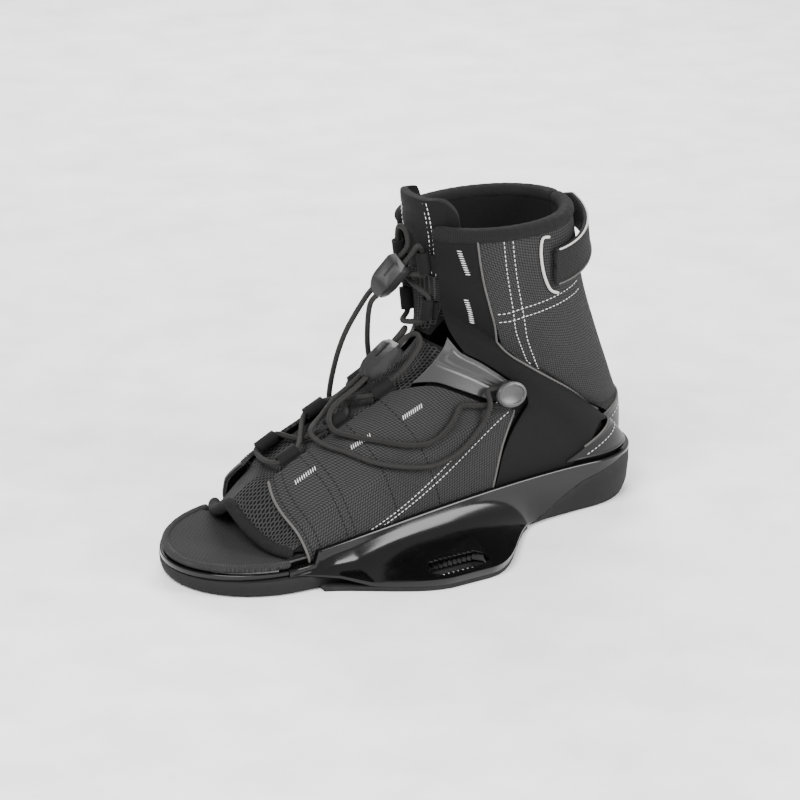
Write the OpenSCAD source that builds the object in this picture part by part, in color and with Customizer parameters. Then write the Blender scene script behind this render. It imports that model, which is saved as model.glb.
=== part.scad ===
// Open-toe wakeboard binding: one laced boot on its moulded chassis.
// +X points to the toe, +Y to the boot's left, +Z up. The origin is the centre of the
// underside of the base.

/* [Base] */
// Length of the chassis from toe to heel
base_length = 292; // [262:1:350]
// Width of the chassis at the ball of the foot
base_width = 103; // [96:1:124]
// Width of the chassis at the heel
heel_width = 78; // [74:1:94]
// Height of the chassis deck at the toe tip
deck_toe = 12.2; // [11:0.1:15]
// Height of the chassis deck at the heel
deck_heel = 20; // [18:0.1:24]
// Thickness of the chassis deck
deck_thick = 3; // [2.5:0.1:4]
// Thickness of the side rails that grip the boot
rail_wall = 3.4; // [2.8:0.1:4.2]
// Height of the rails above the floor beside the ankle
rail_height = 29; // [26:0.5:35]

/* [Screw wings] */
// Distance between the centre lines of the two slotted wings
slot_spacing = 152.4; // [148:0.1:170]
// Length of each toothed slot
slot_length = 36; // [30:1:44]
// Width of each toothed slot between tooth roots
slot_width = 15; // [12:0.5:17]
// Pitch of the slot teeth
tooth_pitch = 3; // [2.4:0.1:4]
// Depth of the slot teeth
tooth_depth = 1.4; // [0.8:0.1:2]
// Distance from the slot centre line to the edge of the wing
wing_margin = 12; // [10:0.5:16]
// Thickness of the foam under the wings
wing_foam = 2.4; // [2:0.1:4]

/* [Boot] */
// Height of the collar rim above the floor
boot_height = 174; // [160:1:210]
// Thickness of the outer fabric panels
panel_thick = 2; // [1.4:0.1:2.6]
// Thickness of the foam liner
liner_thick = 3.6; // [2.6:0.1:4.6]
// Thickness of the tongue pad
tongue_thick = 4.6; // [3:0.1:6]
// Thickness of the footbed
footbed_thick = 2.2; // [1.6:0.1:3]
// Thickness of the lasting board under the footbed
board_thick = 1.2; // [0.8:0.1:1.6]

/* [Lacing] */
// Diameter of the laces
cord_d = 3; // [2.4:0.1:3.2]
// Bore of each webbing lace loop
loop_bore = 4.4; // [4:0.1:4.8]
// Wall of each webbing lace loop
loop_wall = 1.2; // [0.8:0.1:1.5]
// Length of each webbing lace loop
loop_length = 12; // [9:0.5:14]
// Length of a lace lock
lock_length = 26; // [22:1:28]
// Width of a lace lock
lock_width = 13; // [12:0.5:14]
// Thickness of a lace lock
lock_thick = 7.4; // [6.6:0.2:8]
// Bore of the lace channels in a lock
lock_bore = 3.8; // [3.5:0.1:4]
// Diameter of the neck of the lace button
button_neck = 8; // [6:0.5:9]
// Length of the head of the lace button
button_length = 18; // [15:0.5:20]
// Width of the head of the lace button
button_width = 14; // [12:0.5:16]

/* [Pull strap] */
// Width of the heel pull strap
strap_width = 21; // [16:1:24]
// Thickness of the heel pull strap
strap_thick = 2.6; // [2:0.1:3.4]

/* [Hidden] */

fit = 0.4;                         // clearance between neighbouring pieces
seat_gap = 0.02;                   // clearance between faces that lie on each other
$fn = 48;
long = base_length / 292;          // stretch of the boot along X
tall = boot_height / 174;          // stretch of the boot along Z
toe_x = base_length / 2;
ball_x = 88 * long;                // the toe cap starts here
heel_cap = 0.55 * heel_width;      // depth of the rounded heel
heel_x = heel_cap - toe_x;         // the heel cap starts here

// ---- Small helpers -------------------------------------------------------------------
function unit(v) = v / norm(v);
function mix(a, b, t) = a + (b - a) * t;
function clamp(t) = max(0, min(1, t));
function smooth(t) = let (c = clamp(t)) c * c * (3 - 2 * c);
function flip(p) = [p.x, -p.y, p.z];
function reversed(list) = [for (i = [len(list) - 1 : -1 : 0]) list[i]];

// Catmull-Rom curve through the rows of a table, with one row at each whole number
function curve(rows, u) =
    let (top = len(rows) - 1, i = min(max(floor(u), 0), top - 1), t = u - i)
    let (a = rows[max(i - 1, 0)], b = rows[i], c = rows[i + 1], d = rows[min(i + 2, top)])
    (2 * b + (c - a) * t + (2 * a - 5 * b + 4 * c - d) * t * t
        + (3 * b - a - 3 * c + d) * t * t * t) / 2;

// Point at a share t of the way along a list of points, straight between them
function along(list, t) =
    let (n = len(list) - 1, s = clamp(t) * n, i = min(floor(s), n - 1))
    mix(list[i], list[i + 1], s - i);

// Closed solid between two grids of points that have the same rows and columns
module grid_solid(outer, inner) {
    r = len(outer);
    c = len(outer[0]);
    n = r * c;
    function o(i, j) = i * c + j;
    points = [for (g = [outer, inner]) for (row = g) for (p = row) p];
    faces = [
        for (i = [0 : r - 2]) for (j = [0 : c - 2]) each [
            [o(i, j), o(i, j + 1), o(i + 1, j + 1)], [o(i, j), o(i + 1, j + 1), o(i + 1, j)],
            [n + o(i, j), n + o(i + 1, j + 1), n + o(i, j + 1)],
            [n + o(i, j), n + o(i + 1, j), n + o(i + 1, j + 1)]],
        for (j = [0 : c - 2]) each [
            [o(0, j), n + o(0, j), n + o(0, j + 1)], [o(0, j), n + o(0, j + 1), o(0, j + 1)],
            [o(r - 1, j), n + o(r - 1, j + 1), n + o(r - 1, j)],
            [o(r - 1, j), o(r - 1, j + 1), n + o(r - 1, j + 1)]],
        for (i = [0 : r - 2]) each [
            [o(i, 0), n + o(i + 1, 0), n + o(i, 0)], [o(i, 0), o(i + 1, 0), n + o(i + 1, 0)],
            [o(i, c - 1), n + o(i, c - 1), n + o(i + 1, c - 1)],
            [o(i, c - 1), n + o(i + 1, c - 1), o(i + 1, c - 1)]]];
    polyhedron(points, faces, convexity = 8);
}

// Closed solid lofted through rings of points, capped with flat faces
module ring_solid(rings) {
    c = len(rings[0]);
    r = len(rings);
    points = [for (ring = rings) for (p = ring) p];
    sides = [for (i = [0 : r - 2]) for (j = [0 : c - 1]) let (k = (j + 1) % c) each [
        [i * c + j, (i + 1) * c + k, i * c + k], [i * c + j, (i + 1) * c + j, (i + 1) * c + k]]];
    faces = concat(sides, [[for (j = [0 : c - 1]) j], [for (j = [c - 1 : -1 : 0]) (r - 1) * c + j]]);
    polyhedron(points, faces, convexity = 8);
}

// Cord swept along a path, its rings carried round without twist
function carried(dirs, side, i = 0) = i == len(dirs) ? [] :
    let (s = unit(side - (side * dirs[i]) * dirs[i])) concat([s], carried(dirs, s, i + 1));
module tube(path, r, sides = 8) {
    last = len(path) - 1;
    dirs = [for (i = [0 : last]) unit(path[min(i + 1, last)] - path[max(i - 1, 0)])];
    spans = carried(dirs, [0.31, 0.52, 0.79]);
    ring_solid([for (i = [0 : last]) [for (k = [0 : sides - 1])
        let (a = 360 * k / sides, s = spans[i])
        path[i] + r * (cos(a) * s + sin(a) * cross(dirs[i], s))]]);
}

// Round bar from one point to another, with both ends drawn out by a length
module rod(p, q, r, extra = 0) {
    d = unit(q - p);
    translate(p - extra * d) rotate([0, acos(d.z), atan2(d.y, d.x)])
        cylinder(h = norm(q - p) + 2 * extra, r = r);
}
module on_side(side) {
    if (side < 0) mirror([0, 1, 0]) children();
    else children();
}

// ---- Base outline --------------------------------------------------------------------
function deck_z(x) = mix(deck_toe, deck_heel, (toe_x - x) / base_length);
function side_y(x) = mix(base_width, heel_width, smooth((ball_x - x) / (ball_x - heel_x))) / 2;

rail_front = 82 * long;            // the rails start here with a step
side_xs = [for (i = [0 : 24]) mix(rail_front, heel_x, i / 24)];

// Half of the outline from the toe tip to the heel, moved outward by d
function half_outline(d) = [
    for (a = [0 : 9 : 90]) [ball_x + (toe_x - ball_x + d) * cos(a), (base_width / 2 + d) * sin(a)],
    for (x = side_xs) [x, side_y(x) + d],
    for (a = [8 : 8 : 88]) [heel_x - (heel_cap + d) * sin(a), (heel_width / 2 + d) * cos(a)],
    [heel_x - heel_cap - d, 0]];
function full_outline(d) = let (h = half_outline(d), n = len(h))
    [each h, for (i = [n - 2 : -1 : 1]) [h[i].x, -h[i].y]];

// The deck slopes up from toe to heel; this lays a flat shape on it
deck_slope = atan((deck_heel - deck_toe) / base_length);
module on_deck(above = 0) {
    translate([0, 0, deck_z(0) + above]) rotate([0, deck_slope, 0]) children();
}

// ---- Wings and rails -----------------------------------------------------------------
wing_x = 12;                                        // centre of the wings along X
wing_reach = slot_spacing / 2 + wing_margin;        // edge of the wings from the middle
wing_front = 88 * long;                             // length of the fade toward the toe
wing_rear = 77 * long;                              // length of the fade toward the heel
function wing_share(x) = x > wing_x
    ? 1 - smooth((x - wing_x - 8) / (wing_front - 8))
    : 1 - smooth((wing_x - x - 14) / (wing_rear - 14));
function wing_out(x) = wing_share(x) * (wing_reach - side_y(x));

rail_tip = 100 * long;             // the moulded band runs out here
function rail_top(x) = x > rail_front + 2 ? deck_z(x) + 0.4 :
    rail_height - (x > -80 ? 8 * pow((x + 80) / 162, 2) : 2 * pow((x + 80) / 61, 2));

// Lower border of the glossy moulding, where the foam base shows under it
function skirt_low(x) = min(rail_top(x) - 2.2, lookup(x / long, [
    [-146, rail_height - 2.6], [-125, rail_height - 3.2], [-112, rail_height - 6], [-94, 18.5],
    [-81, 12.5], [-70, 6], [-62, wing_foam + 0.2], [60, wing_foam + 0.2], [74, 7], [96, 10]]));

// Section through rail and wing: pairs of distance outside the outline, and height
skirt_step = 1.6;                  // thickness of the skirt that hides the foam
wall_drop = 0.3;                   // the wall reaches this far below the deck's underside
function rail_section(x) =
    let (top = rail_top(x), low = skirt_low(x), k = wing_share(x), e = wing_out(x))
    let (under = deck_z(x) - deck_thick - wall_drop, tip = low + 0.6 + 3.6 * k, drop = top - 1 - tip)
    [[-rail_wall, under], [-rail_wall, top - 0.8], [0.8 - rail_wall, top], [-0.8, top],
        [0, top - 1],
        for (t = [0.15 : 0.15 : 0.9]) [
            e * (3 * (1 - t) * (1 - t) * t * 0.04 + 3 * (1 - t) * t * t * 0.34 + t * t * t),
            tip + drop * (pow(1 - t, 3) + 3 * (1 - t) * (1 - t) * t * 0.42
                + 3 * (1 - t) * t * t * 0.16)],
        [e, tip], [e - 1.2 * k, low], [0.45 * e - 0.7, low + 2.2 * k],
        [0.18 * e - 1.2, low + 5.5 * k], [-skirt_step, min(low + 6.5 * k, under + 4)],
        [-skirt_step, under]];

rail_stations = [rail_tip, 94 * long, ball_x, rail_front + 2.2, each side_xs];
function rail_ring(x, a = 0) = [for (s = rail_section(a > 0 ? heel_x - heel_cap * sin(a) : x))
    a > 0 ? [heel_x - (heel_cap + s[0]) * sin(a), (heel_width / 2 + s[0]) * cos(a), s[1]]
        : [x, side_y(x) + s[0], s[1]]];
module rail_band() {
    left = [for (x = rail_stations) rail_ring(x), for (a = [8 : 8 : 88]) rail_ring(0, a)];
    right = [for (ring = reversed(left)) [for (p = ring) flip(p)]];
    ring_solid(concat(left, right));
}

module toothed_slot(h) {
    half = slot_length / 2;
    n = floor((slot_length - 8) / tooth_pitch);
    start = -n * tooth_pitch / 2;
    edge = [for (i = [0 : n - 1]) each [
        [start + i * tooth_pitch, slot_width / 2],
        [start + (i + 0.5) * tooth_pitch, slot_width / 2 - tooth_depth]],
        [start + n * tooth_pitch, slot_width / 2]];
    linear_extrude(h) polygon([[-half, -3], [-half, 3], each edge, [half, 3], [half, -3],
        for (p = reversed(edge)) [p.x, -p.y]]);
}
module both_slots(h) {
    for (s = [-1, 1]) translate([wing_x, s * slot_spacing / 2, -1]) toothed_slot(h);
}

module chassis() {
    color("#0a0a0b") difference() {
        union() {
            rail_band();
            difference() {
                on_deck(-deck_thick) linear_extrude(deck_thick) polygon(deck_outline());
                deck_holes(screw_hole, -deck_thick - 1, deck_thick + 2);
            }
        }
        both_slots(rail_height);
    }
}
// The deck fills the outline at the toe and ends inside the rail wall behind it
function deck_outline() =
    let (in_wall = (rail_wall + skirt_step) / 2, split = ball_x - 4)
    let (toe = [for (p = half_outline(-seat_gap)) if (p.x > split) p])
    let (rest = [for (p = half_outline(-in_wall)) if (p.x <= split) p])
    let (h = concat(toe, rest), n = len(h)) [each h, for (i = [n - 2 : -1 : 1]) [h[i].x, -h[i].y]];

// Foam block: its outer wall ends under the moulding. At the heel it stands outside the
// rail wall as a lip, and under the wings its core rises inside the skirt.
module base_pad() {
    lip = skirt_step - fit;
    core = skirt_step + fit;
    function under(x) = deck_z(x) - deck_thick - wall_drop - seat_gap;
    function top(x) = min(skirt_low(x), x > rail_front ? under(x) : rail_height) - fit;
    function foam_ring(inset, share) =
        [for (p = full_outline(-inset)) [p.x, p.y, share * top(p.x)]];
    lips = full_outline(-lip);
    cores = full_outline(-core);
    // The lip or the core, whichever this part of the outline has, at a height
    function inner_ring(at_top) = [for (i = [0 : len(lips) - 1])
        let (x = cores[i].x, raised = top(x) > under(x) + 1, p = raised ? lips[i] : cores[i])
        [p.x, p.y, at_top ? top(x) + seat_gap : under(x) - (raised ? fit : 0)]];
    color("#3a3b3f") difference() {
        union() {
            ring_solid([foam_ring(3.4, 0), foam_ring(1.2, 0.24), foam_ring(0.2, 0.7),
                foam_ring(0.2, 1), inner_ring(true), inner_ring(false),
                [for (p = cores) [p.x, p.y, under(p.x)]]]);
            linear_extrude(wing_foam) polygon(wing_outline());
        }
        both_slots(rail_height);
        deck_holes(head_d + 2 * fit, -deck_thick - head_thick - fit, rail_height);
    }
}
// Plan of the foam under both wings, a little inside the wings' edge
function wing_outline() =
    let (h = [for (x = [rail_front : -6 : -60 * long]) [x, side_y(x) + wing_out(x) - 1.6]])
    concat(h, [for (p = reversed(h)) [p.x, -p.y]]);

// ---- Boot form -----------------------------------------------------------------------
// The boot is drawn by sections, one at each whole number of u from the toe opening (0) up
// the instep to the throat (5), round the heel and up to the collar rim (12). Each section
// runs from the ridge (v = 0) down one side to the rail or the back seam (v = 1).
ridge = [[107, 41], [90, 58], [60, 73], [30, 87], [5, 101], [-6, 114], [-8, 125], [-8, 134],
    [-7, 142], [-6, 150], [-5, 158], [-4, 166], [-3, 174], [-2, 184], [-1, 192]];
// Share of the way along the rail, from the heel cap to the toe opening, for u = 0 to 5
rail_share = [1, 0.867, 0.682, 0.477, 0.246, 0];
rail_open = 92;                    // the toe opening meets the rails here
// Back seam, from u = 7 up: x and z
seam = [[-142.2, 21], [-140, 47], [-133, 68], [-122, 97], [-111, 130], [-103, 173],
    [-101, 183], [-99, 191]];
// Sideways pull at the ridge, and outward and upward pull at the foot of each section
pulls = [[20, 2, 14], [24, 2, 23], [24, 1, 32], [25, 1, 40], [27, 2, 48], [31, 4, 43],
    [38, 17, 32], [46, 36, 16], [51, 45, 4], [53, 48, 0], [52, 50, 0], [53, 52, 0], [53, 53, 0],
    [53, 53, 0], [53, 53, 0]];
rail_gap = rail_wall + fit;        // the boot stands this far inside the outline

function rail_point(u) =
    let (x = mix(heel_x, rail_open * long, curve(rail_share, u)))
    [x, side_y(x) - rail_gap, deck_z(x) + fit];
function heel_point(u) = let (a = 45 * (u - 5), x = heel_x - (heel_cap - rail_gap) * sin(a))
    [x, (heel_width / 2 - rail_gap) * cos(a), deck_z(x) + fit];
function seam_point(u) = let (s = curve(seam, u - 7)) [s.x * long, 0, s.y * tall];
function foot_point(u) = u <= 5 ? rail_point(u) : u <= 7 ? heel_point(u) : seam_point(u);

function skin(u, v) =
    let (r = curve(ridge, u), p = curve(pulls, u), foot = foot_point(u))
    let (top = [r.x * long, 0, r.y * tall], w = 1 - v)
    w * w * w * top + 3 * w * w * v * (top + [0, p[0], 0])
        + 3 * w * v * v * (foot + [0, p[1], p[2]]) + v * v * v * foot;
function outward(u, v) =
    let (du = skin(u + 0.02, v) - skin(u - 0.02, v), dv = skin(u, v + 0.01) - skin(u, v - 0.01))
    let (n = cross(dv, du), middle = v <= 0 || (v >= 1 && u >= 7))
    unit(middle ? [n.x, 0, n.z] : n);
function above(u, v, d) = skin(u, v) + d * outward(u, v);
function signed(u, v, d) = v < 0 ? flip(above(u, -v, d)) : above(u, v, d);

// The v at which section u comes down to a height z
function v_at(u, z, low = 0.5, high = 1, steps = 10) =
    let (v = (low + high) / 2) steps == 0 ? v
        : skin(u, v).z > z ? v_at(u, z, v, high, steps - 1) : v_at(u, z, low, v, steps - 1);

// Top border of everything that ends under the collar binding, as [u, v]
function rim(v) = [12 - mix(0.3, 0.04, v), v];

// Grid of [u, v] pairs between two border lines
function between(a, b, rows, cols) = [for (i = [0 : rows]) [for (j = [0 : cols])
    mix(along(a, i / rows), along(b, i / rows), j / cols)]];
function lifted(uv, d) = [for (row = uv) [for (p = row) signed(p[0], p[1], d)]];
module sheet(uv, d, thick) {
    grid_solid(lifted(uv, d), lifted(uv, d - thick));
}

// ---- Outer panels --------------------------------------------------------------------
liner_out = -panel_thick - 1.7;    // outer face of the liner, measured from the skin
liner_in = liner_out - liner_thick;

module forefoot_panel(side) {
    front = [[0.75, 0.22], [0.55, 0.34], [0.42, 0.48], [0.36, 0.66], [0.3, 0.84], [0.32, 0.99]];
    rear = [[3.3, 0.22], [3.6, 0.28], [3.85, 0.35], [4, 0.45], [4.15, 0.54], [4.4, 0.62],
        [4.1, 0.7], [3.85, 0.78], [3.65, 0.88], [3.5, 0.99]];
    color("#4a4b50") on_side(side) sheet(between(front, rear, 18, 10), 0, panel_thick);
}
module flex_saddle(side) {
    upper = [[5.35, 0.2], [5, 0.28], [4.98, 0.36], [4.92, 0.44], [4.85, 0.5], [4.65, 0.59]];
    lower = [[3.65, 0.255], [3.92, 0.33], [4.06, 0.42], [4.2, 0.5], [4.32, 0.55], [4.42, 0.59]];
    color("#55585f") on_side(side) sheet(between(lower, upper, 10, 6), 0.2, panel_thick);
}
module quarter_panel(side) {
    front = [rim(0.13), [9, 0.13], [7, 0.14], [5.8, 0.19], [5.12, 0.28], [5.08, 0.36],
        [5.02, 0.45], [4.95, 0.52], [4.72, 0.62], [4.5, 0.65], [4.2, 0.72], [3.9, 0.82],
        [3.6, 0.99]];
    rear = [rim(0.31), [9.4, 0.31], [8, 0.32], [6.85, 0.34], [6.3, 0.38], [6.2, 0.44],
        [6.3, 0.52], [6.75, 0.61], [7.15, 0.7], [6.6, 0.74], [5.75, 0.76], [5, 0.87],
        [4.35, 0.99]];
    color("#26262a") on_side(side) sheet(between(front, rear, 32, 8), 0, panel_thick);
}
module collar_panel(side) {
    front = [rim(0.33), [9.4, 0.33], [8, 0.34], [7.15, 0.37], [6.75, 0.41], [6.66, 0.45],
        [7, 0.52], [7.4, 0.61], [7.58, 0.7], [7.64, 0.79]];
    rear = [rim(0.995), [10.4, 0.995], [9.9, 0.995], [9.5, 0.995], [9.3, 0.995],
        [9.1, 0.995], [9, 0.995], [8.95, 0.995], [8.9, 0.99], [8.7, 0.98]];
    color("#4a4b50") on_side(side) sheet(between(front, rear, 20, 20), 0, panel_thick);
}
// The counter is one piece that wraps both sides of the heel
module heel_counter() {
    over_rail = rail_height + 2;
    top = [[4.85, v_at(4.85, over_rail) - 0.01], [5.15, 0.88], [5.8, 0.79], [6.6, 0.77],
        [7.2, 0.76], [7.5, 0.83], [8.2, 0.93], [8.6, 1]];
    bottom = [for (u = [4.85, 5.2, 5.7, 6.1, 6.5, 6.75, 6.95]) [u, v_at(u, over_rail)], [7.36, 1]];
    half = between(bottom, top, 14, 5);
    outer = lifted(half, 0);
    inner = lifted(half, -panel_thick);
    other_outer = [for (i = [len(half) - 2 : -1 : 0]) [for (p = outer[i]) flip(p)]];
    other_inner = [for (i = [len(half) - 2 : -1 : 0]) [for (p = inner[i]) flip(p)]];
    color("#2c2d31") grid_solid(concat(outer, other_outer), concat(inner, other_inner));
}

// ---- Liner, vamp and tongue ----------------------------------------------------------
module liner(side) {
    front = [rim(0.2), [10, 0.2], [8, 0.2], [6.5, 0.21], [5.6, 0.24], [5, 0.3], [4, 0.31],
        [3, 0.31], [2, 0.31], [1, 0.32], [0.92, 0.5], [0.9, 0.75], [0.9, 0.98]];
    rear = [rim(1), [11, 1], [10, 1], [9, 1], [8, 1], [7.3, 1], [6.4, 1], [5.6, 1], [4.8, 1],
        [3.8, 1], [2.8, 1], [1.9, 1], [1.1, 1]];
    color("#1b1b1d") on_side(side) translate([0, 0.15, 0])
        sheet(between(front, rear, 42, 14), liner_out, liner_thick);
}
// Mesh over the toes and instep: full arch at the front, then a strip sunk between the flaps
vamp_rows = [[0.04, 0.78], [0.25, 0.84], [0.45, 0.92], [0.65, 0.9], [0.82, 0.5], [0.95, 0.27],
    [1.4, 0.26], [2, 0.26], [2.6, 0.26], [3.2, 0.26], [3.8, 0.26], [4.4, 0.25], [4.85, 0.24]];
vamp_sink = 6;                     // depth of the sunk strip at the ridge
toe_dip = 8;                       // the toe opening sags this much on both sides
toe_reach = 3;                     // and reaches this much further forward
function vamp_point(u, v, d) =
    let (front = 1 - smooth(u / 0.9), dip = toe_dip * sin(180 * min(abs(v) / 0.85, 1)))
    signed(u, v, d) + front * [toe_reach * long, 0, -dip];
function vamp_grid(down) = [for (r = vamp_rows) [for (j = [8 : -1 : -8])
    let (sunk = vamp_sink * smooth((r[0] - 0.2) / 1.2) * (1 - pow(j / 8, 2)))
    vamp_point(r[0], r[1] * j / 8, liner_out - fit - sunk - down)]];
module mesh_vamp() {
    color("#33343a") grid_solid(vamp_grid(0), vamp_grid(2.4));
}
// Soft roll along the toe opening; its ends rest on the footbed
module toe_binding() {
    roll = 2.4;
    edge = [for (j = [-9 : 9]) let (p = vamp_point(-0.22, 0.78 * j / 9, liner_out - 1.7))
        [p.x, p.y, max(p.z, deck_z(p.x) + board_thick + footbed_thick + roll + fit)]];
    color("#2a2a2e") tube(edge, roll);
}
module collar_binding(side) {
    edge = [for (j = [0 : 14]) signed(12.18, mix(0.15, 0.985, j / 14), liner_out)];
    color("#2a2a2e") on_side(side) translate([0, 0.2, 0]) tube(edge, 3);
}

// The tongue tucks its edges inside the liner; its crown stands forward between the flaps
tongue_foot = 5.05;                // the tongue is stitched to the vamp here
tongue_top = 13.6;
crown = -2.8;                      // outer face along the ridge, measured from the skin
tuck = liner_in - fit - 0.3;       // outer face where the liner covers it
function tongue_half(u) = u > 13 ? 0.22 : min(0.24, 0.12 + 0.05 * (u - tongue_foot));
function tongue_face(d) = [for (i = [0 : 12]) let (u = mix(tongue_foot, tongue_top, i / 12))
    [for (j = [8 : -1 : -8]) let (v = tongue_half(u) * j / 8)
        signed(u, v, mix(crown, tuck, smooth((abs(v) - 0.09) / 0.09)) - d)]];
module tongue() {
    color("#222225") grid_solid(tongue_face(0), tongue_face(tongue_thick));
}

// ---- Footbed, board and fasteners ----------------------------------------------------
screw_xs = [60 * long, 0, -60 * long, -112 * long];
screw_d = 4;
screw_hole = screw_d + 0.6;
head_d = 8;
head_thick = 1.4;
nut_d = 9;
nut_thick = 1.2;
bed_inset = rail_gap - liner_in + 2 * fit;  // behind the toes the footbed stands inside the liner
bed_step = 101 * long;                      // and ahead of this it fills the deck

// Half of the plan, with its own inset from the edge of the toe
function half_bed(toe_inset) = [
    for (p = half_outline(-toe_inset)) if (p.x > bed_step) p,
    [bed_step, side_y(bed_step) - bed_inset],
    for (p = half_outline(-bed_inset)) if (p.x < bed_step - 8) p];
function bed_outline(toe_inset) = let (h = half_bed(toe_inset), n = len(h))
    [each h, for (i = [n - 2 : -1 : 1]) [h[i].x, -h[i].y]];
module deck_holes(d, low, h) {
    for (x = screw_xs) on_deck(low) translate([x, 0, 0]) cylinder(h = h, d = d);
}
module lasting_board() {
    color("#6b5a44") difference() {
        on_deck(seat_gap) linear_extrude(board_thick) polygon(bed_outline(3.4));
        deck_holes(screw_hole, -1, board_thick + 2);
    }
}
module footbed() {
    color("#3c3d42") difference() {
        on_deck(board_thick + 2 * seat_gap) linear_extrude(footbed_thick)
            polygon(bed_outline(2.2));
        deck_holes(nut_d + 2 * fit, board_thick - 1, nut_thick + 1 + fit);
    }
}
// Screws come up through the deck and the lasting board into flanged nuts under the footbed
module upper_screws() {
    color("#9a9da3") for (x = screw_xs) on_deck(-deck_thick - seat_gap) translate([x, 0, 0]) {
        translate([0, 0, -head_thick]) cylinder(h = head_thick, d = head_d);
        translate([0, 0, -0.01]) cylinder(h = deck_thick + board_thick + nut_thick, d = screw_d);
    }
}
module t_nuts() {
    color("#9a9da3") difference() {
        deck_holes(nut_d, board_thick + 2 * seat_gap, nut_thick);
        deck_holes(screw_d, board_thick - 1, nut_thick + 2);
    }
}

// ---- Lace button and rivet -----------------------------------------------------------
// The button is riveted through saddle and liner; laces lie round its neck
button_at = [4.57, 0.53];          // u and v of the button
neck_height = 5;
head_thin = 2.2;                   // thickness of the head's plate
rim_high = 0.7;                    // the raised rim round the head
button_n = outward(button_at[0], button_at[1]);
button_p = above(button_at[0], button_at[1], 0.55);
module at_button(side) {
    n = button_n;
    on_side(side) translate(button_p) rotate([0, acos(n.z), atan2(n.y, n.x)]) children();
}
module oval(a, b) {
    polygon([for (t = [0 : 10 : 350]) [a * cos(t) / 2, b * sin(t) / 2]]);
}
module lace_button(side) {
    color("#7d8086") at_button(side) {
        cylinder(h = neck_height + 0.1, d = button_neck);
        translate([0, 0, neck_height]) linear_extrude(head_thin) oval(button_width, button_length);
        translate([0, 0, neck_height + head_thin]) linear_extrude(rim_high) difference() {
            oval(button_width - 1, button_length - 1);
            oval(button_width - 4, button_length - 4);
        }
    }
}
module button_rivet(side) {
    cap = 1.2;
    color("#9a9da3") at_button(side) translate([0, 0, liner_in - cap - fit - 0.25]) {
        cylinder(h = cap, d = 11);
        cylinder(h = cap + fit - liner_in, d = 4);
    }
}

// ---- Lace loops ----------------------------------------------------------------------
// Centre of each loop: u, v and height above the skin; 1 to 3 on the forefoot, 4 and 5 up
loops = [[1.35, 0.155, 0.3], [2.3, 0.155, 0.3], [3.25, 0.155, 0.3], [6.55, 0.082, 1.5],
    [9.9, 0.082, 1.5]];
function loop_center(i) = above(loops[i][0], loops[i][1], loops[i][2]);
function loop_dir(i) =
    let (u = loops[i][0], v = loops[i][1]) unit(skin(u + 0.2, v) - skin(u - 0.2, v));
// Point on a loop's axis, a share of its half length from the centre
function loop_point(i, side, share) =
    let (p = loop_center(i) + share * loop_length / 2 * loop_dir(i)) side < 0 ? flip(p) : p;
module lace_loop(side, i) {
    u = loops[i][0];
    v = loops[i][1];
    p = loop_point(i, 1, -1);
    q = loop_point(i, 1, 1);
    half = i < 3 ? 0.17 : 0.55;
    edge = i < 3 ? 0.218 : 0.128;
    tab = [for (t = [0 : 2]) [for (du = [-half, half]) [u + du, mix(v + 0.01, edge, t / 2)]]];
    color("#1c1c1e") on_side(side) difference() {
        union() {
            rod(p, q, loop_bore / 2 + loop_wall);
            sheet(tab, -0.4, 1.2);
        }
        rod(p, q, loop_bore / 2, 1);
    }
}

// ---- Lace locks ----------------------------------------------------------------------
// Placement of a lock: centre, then roll, tilt and yaw; its own X axis follows the laces
lower_lock = [[16 * long, 3, 101 * tall], [0, 35, 0]];
upper_lock = [[7 * long, -2, 146 * tall], [-60, 53, -50]];
strand = 2.6;                      // each lace runs this far from the lock's middle line
slider_length = 12;
slider_width = lock_width - 3.6;
slider_thick = lock_thick - 3;
function turn_x(p, a) = [p.x, p.y * cos(a) - p.z * sin(a), p.y * sin(a) + p.z * cos(a)];
function turn_y(p, a) = [p.x * cos(a) + p.z * sin(a), p.y, p.z * cos(a) - p.x * sin(a)];
function turn_z(p, a) = [p.x * cos(a) - p.y * sin(a), p.x * sin(a) + p.y * cos(a), p.z];
function lock_point(lock, p) =
    lock[0] + turn_z(turn_y(turn_x(p, lock[1][0]), lock[1][1]), lock[1][2]);
module at_lock(lock) {
    translate(lock[0]) rotate(lock[1]) children();
}
module lace_channels(length) {
    for (s = [-1, 1]) translate([-length / 2, s * strand, 0]) rotate([0, 90, 0])
        cylinder(h = length, d = lock_bore);
}
module lock_body(lock) {
    half = lock_length / 2;
    color("#4b4e54") at_lock(lock) difference() {
        intersection() {
            translate([0, 0, -lock_thick / 2]) linear_extrude(lock_thick) polygon([
                [-half, -lock_width * 0.36], [-half, lock_width * 0.36],
                [-half + 3, lock_width / 2], [3, lock_width / 2], [half - 4, lock_width * 0.42],
                [half, lock_width * 0.26], [half, -lock_width * 0.26],
                [half - 4, -lock_width * 0.42], [3, -lock_width / 2],
                [-half + 3, -lock_width / 2]]);
            rotate([90, 0, 0]) translate([0, 0, -lock_width]) linear_extrude(2 * lock_width)
                polygon([[-half, -lock_thick / 2], [-half, lock_thick * 0.3],
                    [-half + 4, lock_thick / 2], [half - 7, lock_thick / 2],
                    [half, lock_thick * 0.2], [half, -lock_thick / 2 + 0.6],
                    [half - 1, -lock_thick / 2]]);
        }
        translate([-half - 1, -slider_width / 2 - 0.3, -lock_thick / 2 - 1])
            cube([slider_length + 5, slider_width + 0.6, slider_thick + 1.6]);
        lace_channels(lock_length + 4);
        translate([2 - half, -0.7, lock_thick / 2 - 0.6]) cube([11, 1.4, 2]);
    }
}
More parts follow.
